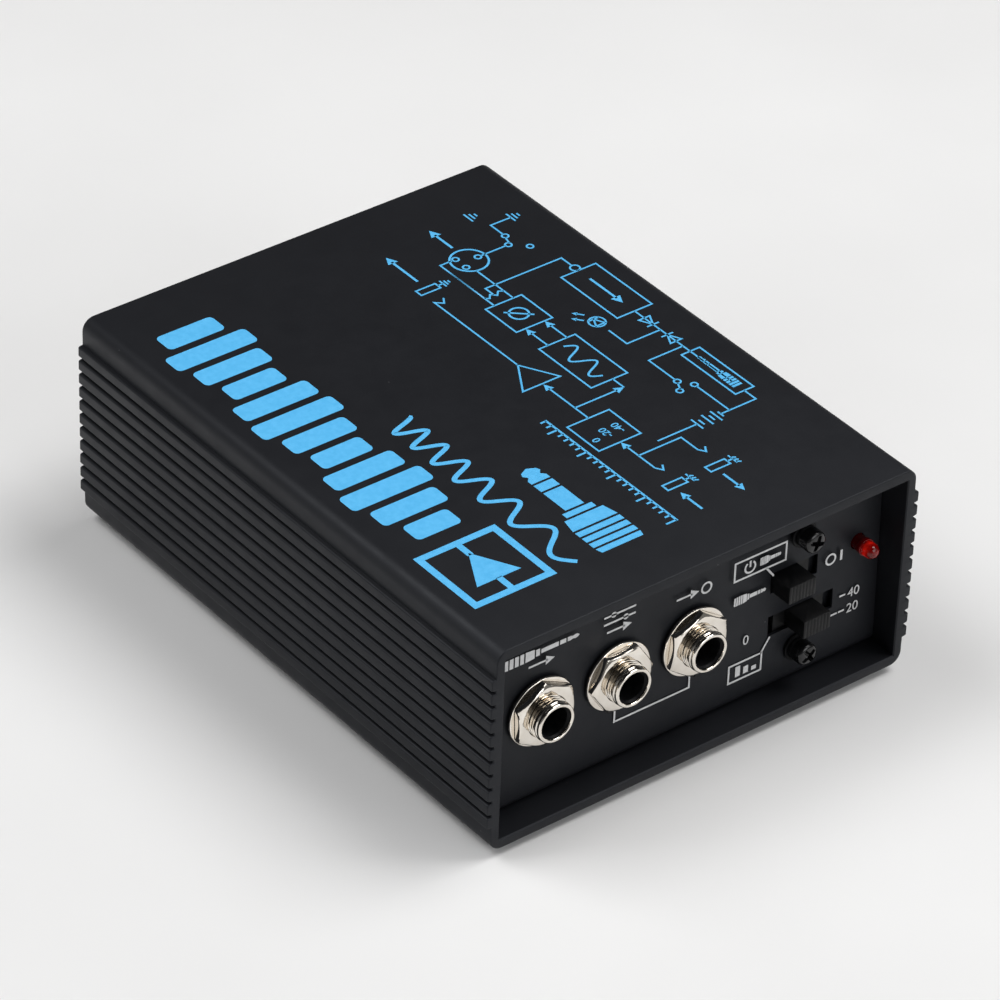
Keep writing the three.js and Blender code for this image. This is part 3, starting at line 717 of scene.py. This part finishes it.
def add_screw(node, turn):
    """A fine screw in the place of a CAD one, with its recess turned by turn degrees."""
    low, high = box_mm(node)
    centre, half = place_mm(node)
    head, radius, facing = SCREW_KINDS[node.split("_")[0]]
    length = 2 * (half.z if facing == "down" else half.y) - head
    screw = pan_screw("screw_" + node.replace("_screw", ""), radius, head, length, turn)
    turn_round, base = {
        "front": (IDENTITY, (centre.x, low.y + head, centre.z)),
        "rear": (Matrix.Rotation(math.pi, 3, "Z"), (centre.x, high.y - head, centre.z)),
        "down": (UPRIGHT, (centre.x, centre.y, low.z + head)),
    }[facing]
    screw.data.transform(Matrix.Translation(Vector(base) * MM) @ turn_round.to_4x4())
    finish_piece(screw, "black_screws", stands_for=(node,), sharp=28)


def add_screws():
    turns = {"front_screw_upper": 24, "front_screw_lower": 58, "rear_screw_left": 10,
             "rear_screw_right": 71, "output_screw_1": 35, "output_screw_2": 5}
    turns.update({f"case_screw_{corner}": 20 + 37 * k for k, corner in enumerate(CORNERS)})
    for node, turn in turns.items():
        add_screw(node, turn)


def add_washers():
    hole, flat_radius, spring_radius, turns = 1.7, 3.2, 2.6, 60
    for level in ("upper", "lower"):
        flat, spring = f"flat_washer_{level}", f"spring_washer_{level}"
        centre, half = place_mm(flat)
        profile = softened(band(hole, flat_radius, -half.y, half.y), 0.08)
        make_piece(f"plain_washer_{level}", moved(turned(profile, 64), centre), "black_screws",
                   stands_for=(flat,), material=DULL_BLACK)
        # A split ring, whose two ends stand a little apart along the screw.
        middle, half = place_mm(spring)
        section = softened(band(hole, spring_radius, -half.y * 0.8, half.y * 0.8), 0.14, 2)
        rings = []
        for k in range(turns + 1):
            angle = math.radians(8 + 344 * k / turns)
            rise = (k / turns - 0.5) * half.y * 0.4
            rings.append([(r * math.cos(angle), y + rise, r * math.sin(angle)) for r, y in section])
        make_piece(f"split_washer_{level}", moved(loft(rings), (centre.x, middle.y, centre.z)),
                   "black_screws", stands_for=(spring,), material=DULL_BLACK)


# ---- Slide switches ----

KNOB_WIDTH = 7.2
KNOB_HEIGHT = 4.3
SHUTTER = (6.8, 2.9)  # half width and half height of the plate that closes the slot
GRIP_RIDGES = 8
GRIP_DEPTH = 0.12


def knob_outline():
    """The knob seen from above: its front carries upright grip ridges."""
    half = KNOB_WIDTH / 2
    pitch = KNOB_WIDTH / GRIP_RIDGES
    profile = ((0.0, 0.85), (0.14, 0.2), (0.3, 0.0), (0.56, 0.0), (0.72, 0.2), (0.86, 0.85))
    front = [(-half + (ridge + share) * pitch, GRIP_DEPTH * rise)
             for ridge in range(GRIP_RIDGES) for share, rise in profile]
    return front + [(half, GRIP_DEPTH * 0.85)]


def add_slider(name, side):
    node = f"{name}_switch_slider"
    low, high = box_mm(node)
    centre = (low + high) / 2
    deep = high.y - low.y
    grip_deep = 7.2
    outline = knob_outline() + [(KNOB_WIDTH / 2, grip_deep), (-KNOB_WIDTH / 2, grip_deep)]
    half, edge = KNOB_HEIGHT / 2, 0.22
    levels = ((-half, edge), (-half + edge * 0.3, edge * 0.3), (-half + edge, 0), (half - edge, 0),
              (half - edge * 0.3, edge * 0.3), (half, edge))
    rings = []
    for z, inset in levels:
        across = (KNOB_WIDTH / 2 - inset) / (KNOB_WIDTH / 2)
        rings.append([(x * across, y + inset if y < 1 else y, z) for x, y in outline])
    grip = make_object(f"{name}_slider", loft(rings))
    behind = (PANEL_FRONT - low.y if side == "front" else high.y - PANEL_REAR) + 1.0
    shutter = block((-SHUTTER[0], behind + 0.15, -SHUTTER[1]), (SHUTTER[0], behind + 0.9, SHUTTER[1]))
    stem = block((-2, grip_deep - 0.4, -1.3), (2, deep - 3, 1.3))
    base = block((-3.4, deep - 3.4, -2.7), (3.4, deep, 2.7))
    combine(grip, "UNION", shutter, stem, base)
    front = low.y
    if side == "rear":
        grip.data.transform(Matrix.Rotation(math.pi, 4, "Z"))
        front = high.y
    grip.data.transform(Matrix.Translation(Vector((centre.x, front, centre.z)) * MM))
    finish_piece(grip, "knob_plastic", body=f"{name}_knob", stands_for=(node,), sharp=30)


# ---- Indicator ----


LED_RADIUS = 1.75
LED_COLLAR = 1.95


def add_led():
    low, high = box_mm("power_led")
    axis = ((low.x + high.x) / 2, 0, high.z - LED_COLLAR)
    dome = [(0.0, low.y)] + arc((0, low.y + LED_RADIUS), LED_RADIUS, -90, 0, 10)[1:]
    start, end = -2.2, -1.0
    collar = softened(band(LED_RADIUS, LED_COLLAR, start, end), 0.1)
    dome += [(r, PANEL_FRONT + y) for r, y in collar]
    dome += [(LED_RADIUS, PANEL_FRONT + 2), (0.0, PANEL_FRONT + 2)]
    make_piece("indicator", moved(turned(dome, 64), axis), "red_lens", stands_for=("power_led",))


# ---- Output connector ----

PIN_RADIUS = 1.2


def add_output_connector():
    low, high = box_mm("output_shell")
    face, back = high.y, low.y
    centre, half = place_mm("output_shell")
    centre.y = 0
    shell_radius, cavity = 11.0, 9.4
    rim_radius, edge = 10.4, 0.35

    outline = divided(rounded_rectangle(half.x, half.z, 2.5, 8), 0.8)

    def plate(shrink, y):
        return [(x * (1 - shrink / half.x), y, z * (1 - shrink / half.z)) for x, z in outline]

    def circle(radius, y):
        return [(radius * x / math.hypot(x, z), y, radius * z / math.hypot(x, z)) for x, z in outline]

    rings = [plate(0, PANEL_REAR + 0.05), plate(0, face - edge),
             plate(edge * 0.3, face - edge * 0.3), plate(edge, face), circle(rim_radius, face),
             circle(cavity + 0.35, face), circle(cavity + 0.08, face - 0.12),
             circle(cavity, face - 0.4), circle(cavity, back + 0.1), circle(cavity + 0.1, back),
             circle(shell_radius, back), circle(shell_radius, PANEL_REAR + 0.05)]
    shell = make_object("output_socket_shell", loft(rings, "loop"))
    shell.data.transform(Matrix.Translation(centre * MM))
    holes = []
    for k in (1, 2):
        spot = centre_mm(f"output_screw_{k}")
        holes.append(moved(drill(1.7, face - 4, face + 1), (spot.x, 0, spot.z)))
    combine(shell, "DIFFERENCE", *holes)
    finish_piece(shell, "nickel", stands_for=("output_shell",), sharp=25)

    low, high = box_mm("output_insert")
    radius = (high.x - low.x) / 2
    disc = softened(band(0, radius, low.y, high.y), 0.4)
    insert = make_object("output_socket_insert", moved(turned(disc, 72), (centre.x, 0, centre.z)))
    hole = drill(PIN_RADIUS + 0.25, low.y - 1, high.y + 1)
    pins = [centre_mm(f"output_pin_{k}") for k in (1, 2, 3)]
    combine(insert, "DIFFERENCE", *[moved(hole, (pin.x, 0, pin.z)) for pin in pins])
    finish_piece(insert, "black_plastic", stands_for=("output_insert",))
    for k, pin in enumerate(pins, 1):
        low, high = box_mm(f"output_pin_{k}")
        tip = arc((0, high.y - PIN_RADIUS), PIN_RADIUS, 90, 0, 9)
        profile = [(0.0, high.y)] + tip[1:] + [(PIN_RADIUS, low.y), (0.0, low.y)]
        make_piece(f"contact_pin_{k}", moved(turned(profile, 40), (pin.x, 0, pin.z)), "nickel",
                   stands_for=(f"output_pin_{k}",))


# ---- Feet ----


def add_feet():
    for corner in CORNERS:
        low, high = box_mm(f"foot_{corner}")
        centre, radius = (low + high) / 2, (high.x - low.x) / 2
        thick = high.z - low.z
        # Turned about Y, then stood up, so that y = 0 meets the floor.
        profile = softened([(0, 0), (1.6, 0), (1.9, 0.5), (2.6, 0.5), (2.9, 0), (radius - 0.4, 0),
                            (radius, thick * 0.4), (radius, thick), (0, thick)], 0.35)
        stood = moved(turned(profile, 72), (centre.x, centre.y, low.z), UPRIGHT)
        make_piece(f"pad_{corner}", stood, "rubber", stands_for=(f"foot_{corner}",))


# ---- Printing ----

INK = 0.035  # how far the print stands above its surface
SINK = 0.03
FIGURE_HEIGHT = 0.73  # of a figure whose size is 1


class Print:
    """Flat graphics on one face, in that face's own right and up directions.

    width is that of a line unless it is given another.
    """

    def __init__(self, name, slot, width, origin, right, up):
        self.name, self.slot, self.width = name, slot, width
        self.origin, self.right, self.up = Vector(origin), Vector(right), Vector(up)
        self.out = self.right.cross(self.up)
        self.shapes = []

    def spot(self, a, b, height):
        return self.origin + self.right * a + self.up * b + self.out * height

    def fill(self, outline):
        """A filled outline."""
        self.shapes.append(loft([[self.spot(a, b, level) for a, b in outline] for level in (-SINK, INK)]))

    def line(self, points, width=None, closed=False):
        """A line with mitred corners; a closed one is a frame."""
        half = (width or self.width) / 2
        rings = []
        count = len(points)
        for k, point in enumerate(points):
            here = Vector(point)
            ahead = Vector(points[(k + 1) % count]) - here if closed or k < count - 1 else None
            behind = here - Vector(points[k - 1]) if closed or k else None
            first, second = (behind or ahead).normalized(), (ahead or behind).normalized()
            along = (first + second).normalized()
            normal = Vector((-along.y, along.x))
            reach = normal * half / max(0.35, normal.dot(Vector((-first.y, first.x))))
            left, right = here + reach, here - reach
            rings.append([self.spot(*left, INK), self.spot(*right, INK), self.spot(*right, -SINK),
                          self.spot(*left, -SINK)])
        self.shapes.append(loft(rings, "loop" if closed else "caps"))

    def lines(self, *paths):
        for path in paths:
            self.line(path)

    def rectangle(self, a0, a1, b0, b1, width=None):
        self.line([(a0, b0), (a1, b0), (a1, b1), (a0, b1)], width, closed=True)

    def circle(self, centre, radius, width=None):
        self.line(arc(centre, radius, 0, 360, 40)[:-1], width, closed=True)

    def dot(self, centre, radius):
        self.fill(arc(centre, radius, 0, 360, 28)[:-1])

    def arrow(self, start, end, head=2.2, width=None):
        """A line with a solid head at its end."""
        tip, tail = Vector(end), Vector(start)
        along = (tip - tail).normalized()
        across = Vector((-along.y, along.x))
        base = tip - along * head
        self.line([tail, base + along * head * 0.2], width)
        self.fill([tip, base + across * head * 0.5, base - across * head * 0.5])

    def number(self, text, corner, height, weight=0.0):
        """Figures, with their lower left corner at corner."""
        curve = bpy.data.curves.new("figures", "FONT")
        curve.body = text
        curve.size = 1
        curve.offset = weight
        holder = bpy.data.objects.new("figures", curve)
        scene.collection.objects.link(holder)
        bpy.context.view_layer.update()
        final = holder.evaluated_get(bpy.context.evaluated_depsgraph_get())
        flat = bpy.data.meshes.new_from_object(final)
        bpy.data.objects.remove(holder)
        start = min(v.co.x for v in flat.vertices)
        scale = height / FIGURE_HEIGHT
        solid = bmesh.new()
        solid.from_mesh(flat)
        bmesh.ops.remove_doubles(solid, verts=solid.verts, dist=1e-6)
        grown = bmesh.ops.extrude_face_region(solid, geom=solid.faces[:])
        top = set(grown["geom"])
        for v in solid.verts:
            a = corner[0] + (v.co.x - start) * scale
            v.co = self.spot(a, corner[1] + v.co.y * scale, INK if v in top else -SINK)
        solid.verts.index_update()
        faces = [tuple(v.index for v in face.verts) for face in solid.faces]
        self.shapes.append(([tuple(v.co) for v in solid.verts], faces))
        solid.free()

    def plug(self, start, length, height):
        """A phone plug from the side, its tip towards +right: grip, collar, sleeve, ring and tip."""
        a, b = start
        half = height / 2
        # From one share of the length to another, with the half heights there as shares of half.
        for first, last, near, far in (
                (0.0, 0.05, 0.92, 1), (0.07, 0.12, 1, 1), (0.14, 0.19, 1, 1), (0.21, 0.26, 1, 1),
                (0.28, 0.40, 1, 0.86), (0.42, 0.47, 0.66, 0.66), (0.49, 0.72, 0.42, 0.42),
                (0.74, 0.82, 0.42, 0.42)):
            self.fill([(a + length * first, b - half * near), (a + length * last, b - half * far),
                       (a + length * last, b + half * far), (a + length * first, b + half * near)])
        self.fill([(a + length * x, b + half * y) for x, y in
                   ((0.84, -0.42), (0.88, -0.42), (0.91, -0.26), (0.94, -0.40), (0.97, -0.34), (1.0, 0),
                    (0.97, 0.34), (0.94, 0.40), (0.91, 0.26), (0.88, 0.42), (0.84, 0.42))])

    def ground(self, a, b, size):
        """An earth mark: three bars below a point."""
        for row in range(3):
            half, level = size * (1 - 0.33 * row) / 2, b - row * size * 0.3
            self.line([(a - half, level), (a + half, level)])

    def finish(self):
        make_piece(self.name, together(*self.shapes), self.slot, sharp=30)


def add_top_print():
    """Sky-blue graphics on the top: they read from the right side, and start at the front."""
    blue = Print("print_top", "print_blue", 0.42, (0, FRONT_EDGE, CASE_TOP), (0, 1, 0), (-1, 0, 0))
    add_level_bars(blue)
    add_emblem(blue)
    add_wave_line(blue)
    blue.plug((14.6, 11.6), 32.0, 11.6)
    add_ruler(blue)
    add_signal_diagram(blue)
    blue.finish()


TITLE_FOOT, TITLE_HEAD = 28.7, 49.5
BAR_LEVELS = (0.55, 0.80, 1.0, 0.86, 0.62, 0.78, 1.0, 0.92, 0.66, 0.84, 1.0, 0.70)


def add_level_bars(blue):
    """Heavy bars whose heights swell and sink, like a level over time."""
    start, end = 38.4, 131.0
    pitch = (end - start) / len(BAR_LEVELS)
    middle, half = (TITLE_FOOT + TITLE_HEAD) / 2, (TITLE_HEAD - TITLE_FOOT) / 2
    for k, level in enumerate(BAR_LEVELS):
        a = start + pitch * (k + 0.5)
        bar = rounded_rectangle(pitch * 0.37, half * level, 1.2, 5)
        blue.fill([(a + x, middle + y) for x, y in bar])


def add_emblem(blue):
    """A framed amplifier mark: a solid triangle on its line."""
    left, right, width = 14.4, 35.0, 1.7
    middle, inset = (TITLE_FOOT + TITLE_HEAD) / 2, width / 2
    blue.rectangle(left + inset, right - inset, TITLE_FOOT + inset, TITLE_HEAD - inset, width)
    blue.fill([(20.0, middle - 5.6), (30.2, middle), (20.0, middle + 5.6)])
    for start, end in ((left + width, 20.2), (29.4, right - width)):
        blue.line([(start, middle), (end, middle)], 1.5)


def add_wave_line(blue):
    """A drawn-out wave whose periods get shorter."""
    start, end, foot, head, width = 15.2, 75.6, 19.2, 26.6, 1.15
    middle, half = (foot + head) / 2, (head - foot - width) / 2
    points = []
    steps = 220
    for k in range(steps + 1):
        t = k / steps
        turns = 3.2 * t + 3.6 * t * t
        points.append((start + (end - start) * t, middle + half * math.sin(2 * math.pi * turns)))
    blue.line(points, width)


def add_ruler(blue):
    """A ruler's edge, with every fifth mark a long one."""
    start, end, foot = 14.4, 58.0, -2.5
    blue.line([(start, foot), (end, foot)], 0.55)
    marks = 22
    for k in range(marks + 1):
        a = start + 0.3 + (end - start - 0.6) * k / marks
        blue.line([(a, foot), (a, foot + (2.7 if k % 5 == 0 else 1.5))], 0.5)


def add_signal_diagram(blue):
    """What the box does, in symbols: jacks, pad, amplifier, balancing, output and supply."""
    signal, link, supply = -10.4, -21.8, -43.6

    def jack_mark(b):
        """A jack's sleeve with its earth, and the spring that touches the plug."""
        blue.rectangle(23.6, 25.6, b - 2.4, b + 2.8)
        blue.lines([(24.6, b - 2.4), (24.6, b - 3.8)],
                   *([(a, b - 3.8), (a - 0.6, b - 4.8)] for a in (23.5, 24.4, 25.3)),
                   [(23.1, b - 3.8), (26.1, b - 3.8)], [(31.4, b), (29.8, b - 1.0), (31.4, b - 2.0)])

    def contacts(*centres):
        for centre in centres:
            blue.circle(centre, 0.75)

    def diode(tail, tip):
        blue.line([(tail, supply - 1.5), (tail, supply + 1.5), (tip, supply)], closed=True)
        blue.line([(tip, supply - 1.6), (tip, supply + 1.6)])

    # The two jacks, one in and one out.
    jack_mark(signal)
    jack_mark(link)
    blue.arrow((14.6, signal + 1.2), (21.6, signal + 1.2), width=0.55)
    blue.arrow((21.6, link + 1.2), (14.6, link + 1.2), width=0.55)

    # From the input to the pad, with the link taken off before it.
    blue.arrow((31.4, signal), (42.6, signal))
    blue.line([(31.4, link), (36.8, link), (36.8, signal)])
    blue.rectangle(42.8, 53.4, -15.9, -4.7)
    for text, b in (("0", -7.6), ("-20", -10.9), ("-40", -14.2)):
        blue.number(text, (45.6, b), 1.9, 0.012)

    # The amplifier and the unbalanced output.
    blue.arrow((53.4, signal), (68.6, signal))
    blue.line([(69.0, -15.2), (69.0, -5.2), (77.4, signal)], closed=True)
    blue.line([(77.4, signal), (106.6, signal), (105.2, -12.0), (106.9, -13.1)])
    blue.rectangle(110.4, 112.4, -15.0, -9.8)
    blue.line([(111.4, -15.0), (111.4, -16.4)])
    blue.ground(111.4, -16.4, 2.6)
    blue.arrow((115.2, -12.4), (126.6, -12.4), 2.6, 0.6)

    # Balancing, the phase switch and the three-pin output.
    blue.arrow((58.0, signal), (58.0, -23.6))
    blue.rectangle(61.8, 79.6, -27.6, -17.8)
    blue.line([(58.0, -23.6), (61.8, -23.6)])
    wave = [(64.0 + 13.4 * k / 40, -22.7 + 2.4 * math.sin(2 * math.pi * k / 20)) for k in range(41)]
    blue.line(wave, 0.5)
    for b in (-20.2, -25.4):
        blue.arrow((79.6, b), (87.2, b))
        blue.line([(98.2, b), (111.2, b)])
    blue.rectangle(87.4, 98.2, -27.6, -17.8)
    blue.circle((92.8, -22.7), 2.2, 0.5)
    blue.line([(90.6, -25.2), (95.0, -20.2)], 0.5)
    blue.line([(101.6, -20.2), (101.0, -21.1), (102.2, -22.1), (101.0, -23.2), (102.2, -24.3),
               (101.6, -25.4)])
    blue.circle((115.4, -26.6), 4.3, 0.5)
    contacts((113.6, -24.4), (117.4, -24.4), (115.4, -29.0))
    blue.line([(111.2, -20.2), (117.4, -20.2), (117.4, -23.6)])
    blue.arrow((121.4, -26.6), (129.8, -26.6), 2.6, 0.6)

    # The ground lift.
    blue.line([(115.4, -29.8), (115.4, -36.6)])
    contacts((115.4, -37.4), (112.2, -40.9), (118.6, -39.0))
    blue.lines([(115.9, -38.0), (118.0, -38.6)], [(119.4, -39.0), (123.8, -39.0), (123.8, -44.6)])
    blue.ground(123.8, -44.6, 3.4)
    blue.ground(129.0, -36.8, 3.4)

    # The phantom supply and its diodes.
    blue.line([(101.6, -22.7), (104.6, -22.7), (104.6, supply), (101.2, supply)])
    blue.circle((99.8, supply), 1.1)
    blue.rectangle(79.2, 98.6, -48.4, -38.8)
    blue.arrow((94.6, supply), (83.2, supply), 2.6, 0.6)
    blue.line([(79.2, supply), (46.4, supply)])
    diode(75.9, 72.9)
    diode(65.1, 68.1)

    # The indicator and the battery.
    blue.line([(70.4, supply), (70.4, -34.4), (76.6, -34.4)])
    blue.circle((80.6, -34.4), 1.9)
    blue.line([(79.4, -35.6), (79.4, -33.2), (81.8, -34.4)], closed=True)
    blue.line([(81.8, -35.8), (81.8, -33.0)])
    blue.arrow((82.6, -32.4), (84.8, -30.6), 1.2)
    blue.arrow((84.2, -33.8), (86.4, -32.0), 1.2)
    blue.rectangle(42.4, 60.4, -46.2, -41.2)
    blue.plug((44.6, -43.7), 13.4, 2.6)
    blue.line([(62.8, supply), (62.8, -34.2), (54.0, -34.2)])
    contacts((53.2, -34.2), (50.2, -36.4), (50.2, -32.4))
    blue.lines([(52.6, -33.8), (50.6, -32.9)], [(38.6, -17.0), (38.6, -27.6)])
    for b, half in ((-27.6, 2.0), (-28.8, 1.0), (-30.4, 2.0), (-31.6, 1.0), (-32.8, 2.0), (-34.0, 1.0)):
        blue.line([(38.6 - half, b), (38.6 + half, b)])
    blue.lines([(38.6, -34.0), (38.6, supply), (42.4, supply)], [(49.4, -36.4), (38.6, -36.4)])


def add_front_print():
    """White marks around the jacks and switches."""
    white = Print("print_front", "print_white", 0.44, (0, PANEL_FRONT, 0), (1, 0, 0), (0, 0, 1))

    # Above the first jack a plug, above the second two paths, above the third an arrow going in.
    first, second, third = (centre_mm(f"jack_washer_{jack}").x for jack in JACKS)
    white.plug((first - 9.6, 42.0), 19.2, 2.5)
    white.arrow((first - 3.3, 39.1), (first + 3.3, 39.1))
    for b, a in ((43.0, second - 1.6), (41.2, second + 1.6)):
        white.line([(second - 4.1, b), (second + 4.1, b)])
        white.dot((a, b), 0.7)
    white.arrow((second - 3.2, 39.0), (second + 3.2, 39.0))
    white.arrow((third - 5.0, 39.25), (third + 0.9, 39.25))
    white.circle((third + 2.9, 39.25), 1.25)

    # The bracket that joins the second and third jacks.
    start, end = second - 0.1, third - 0.3
    white.line([(start, 18.0), (start, 14.93), (end, 14.93), (end, 18.0)])

    # The power switch.
    white.rectangle(12.1, 25.9, 37.3, 41.9)
    white.lines(arc((16.2, 39.5), 1.35, 125, 415, 30), [(16.2, 39.5), (16.2, 41.1)],
                [(20.7, 37.3), (22.9, 34.4)])
    white.plug((18.9, 39.6), 5.6, 2.0)
    white.plug((12.4, 31.9), 8.6, 2.2)
    white.circle((38.6, 31.9), 1.25)
    white.line([(41.5, 30.6), (41.5, 33.2)], 0.6)

    # The pad switch.
    for text, corner in (("0", (15.6, 19.5)), ("40", (44.2, 19.5)), ("20", (44.2, 15.5))):
        white.number(text, corner, 2.45)
    white.lines([(41.9, 20.75), (43.5, 20.75)], [(38.9, 16.7), (41.5, 16.7)],
                [(41.9, 16.7), (43.5, 16.7)], [(20.7, 15.2), (23.0, 18.6)])
    white.rectangle(12.2, 21.0, 10.9, 15.3)
    for a, tall in ((14.0, 2.6), (16.2, 1.8), (18.4, 1.0)):
        white.fill([(a, 11.9), (a + 1.3, 11.9), (a + 1.3, 11.9 + tall), (a, 11.9 + tall)])
    white.finish()


def add_rear_print():
    """White marks on the rear panel, in its own right and up directions."""
    white = Print("print_rear", "print_white", 0.5, (0, PANEL_REAR, 0), (-1, 0, 0), (0, 0, 1))
    output, phase, ground = (-centre_mm(node).x for node in
                             ("output_shell", "phase_switch_body", "ground_switch_body"))
    white.arrow((output - 5, 46.4), (output + 5, 46.4), 2.4)
    for text, a, b, tall in (("1", output - 7.0, 6.6, 2.2), ("2", output - 0.6, 6.6, 2.2),
                             ("3", output + 5.8, 6.6, 2.2), ("0", phase - 3.4, 34.6, 2.4),
                             ("180", phase + 0.6, 34.6, 2.4)):
        white.number(text, (a, b), tall, 0.012)
    for middle in (phase, ground):
        for a in (middle - 2.5, middle + 2.5):
            white.line([(a, 31.6), (a, 33.6)])
        white.rectangle(middle - 4.4, middle + 4.4, 14.6, 19.6)
    white.circle((phase, 17.1), 1.3)
    # Above the ground switch an earth that is joined, and one that is lifted.
    joined, lifted = ground - 2.5, ground + 2.5
    for a, b, size in ((joined, 36.6, 2.8), (lifted, 36.6, 2.8), (ground, 17.6, 3.4)):
        white.ground(a, b, size)
    white.lines([(phase - 1.5, 15.5), (phase + 1.5, 18.7)], [(joined, 36.6), (joined, 39.0)],
                [(lifted, 36.6), (lifted, 37.6)], [(lifted, 38.4), (lifted, 39.4)],
                [(ground, 18.9), (ground, 17.6)])
    white.finish()


# ---- CAD nodes that show as they are ----


def finish_cad_nodes():
    slots = {row["node"]: row["material_slot"] for row in frame["record"]["subparts"]}
    for name, node in frame["nodes"].items():
        node.data.materials.clear()
        node.data.materials.append(FINISHES[slots[name]])


finish_cad_nodes()
add_camera()
add_floor()
add_studio()
add_lights()
add_sleeve()
for jack in JACKS:
    add_jack_washer(jack)
    add_jack_nut(jack)
    add_jack_bush(jack)
add_screws()
add_washers()
for switch, side in SWITCHES.items():
    add_slider(switch, side)
add_led()
add_output_connector()
add_feet()
add_top_print()
add_front_print()
add_rear_print()
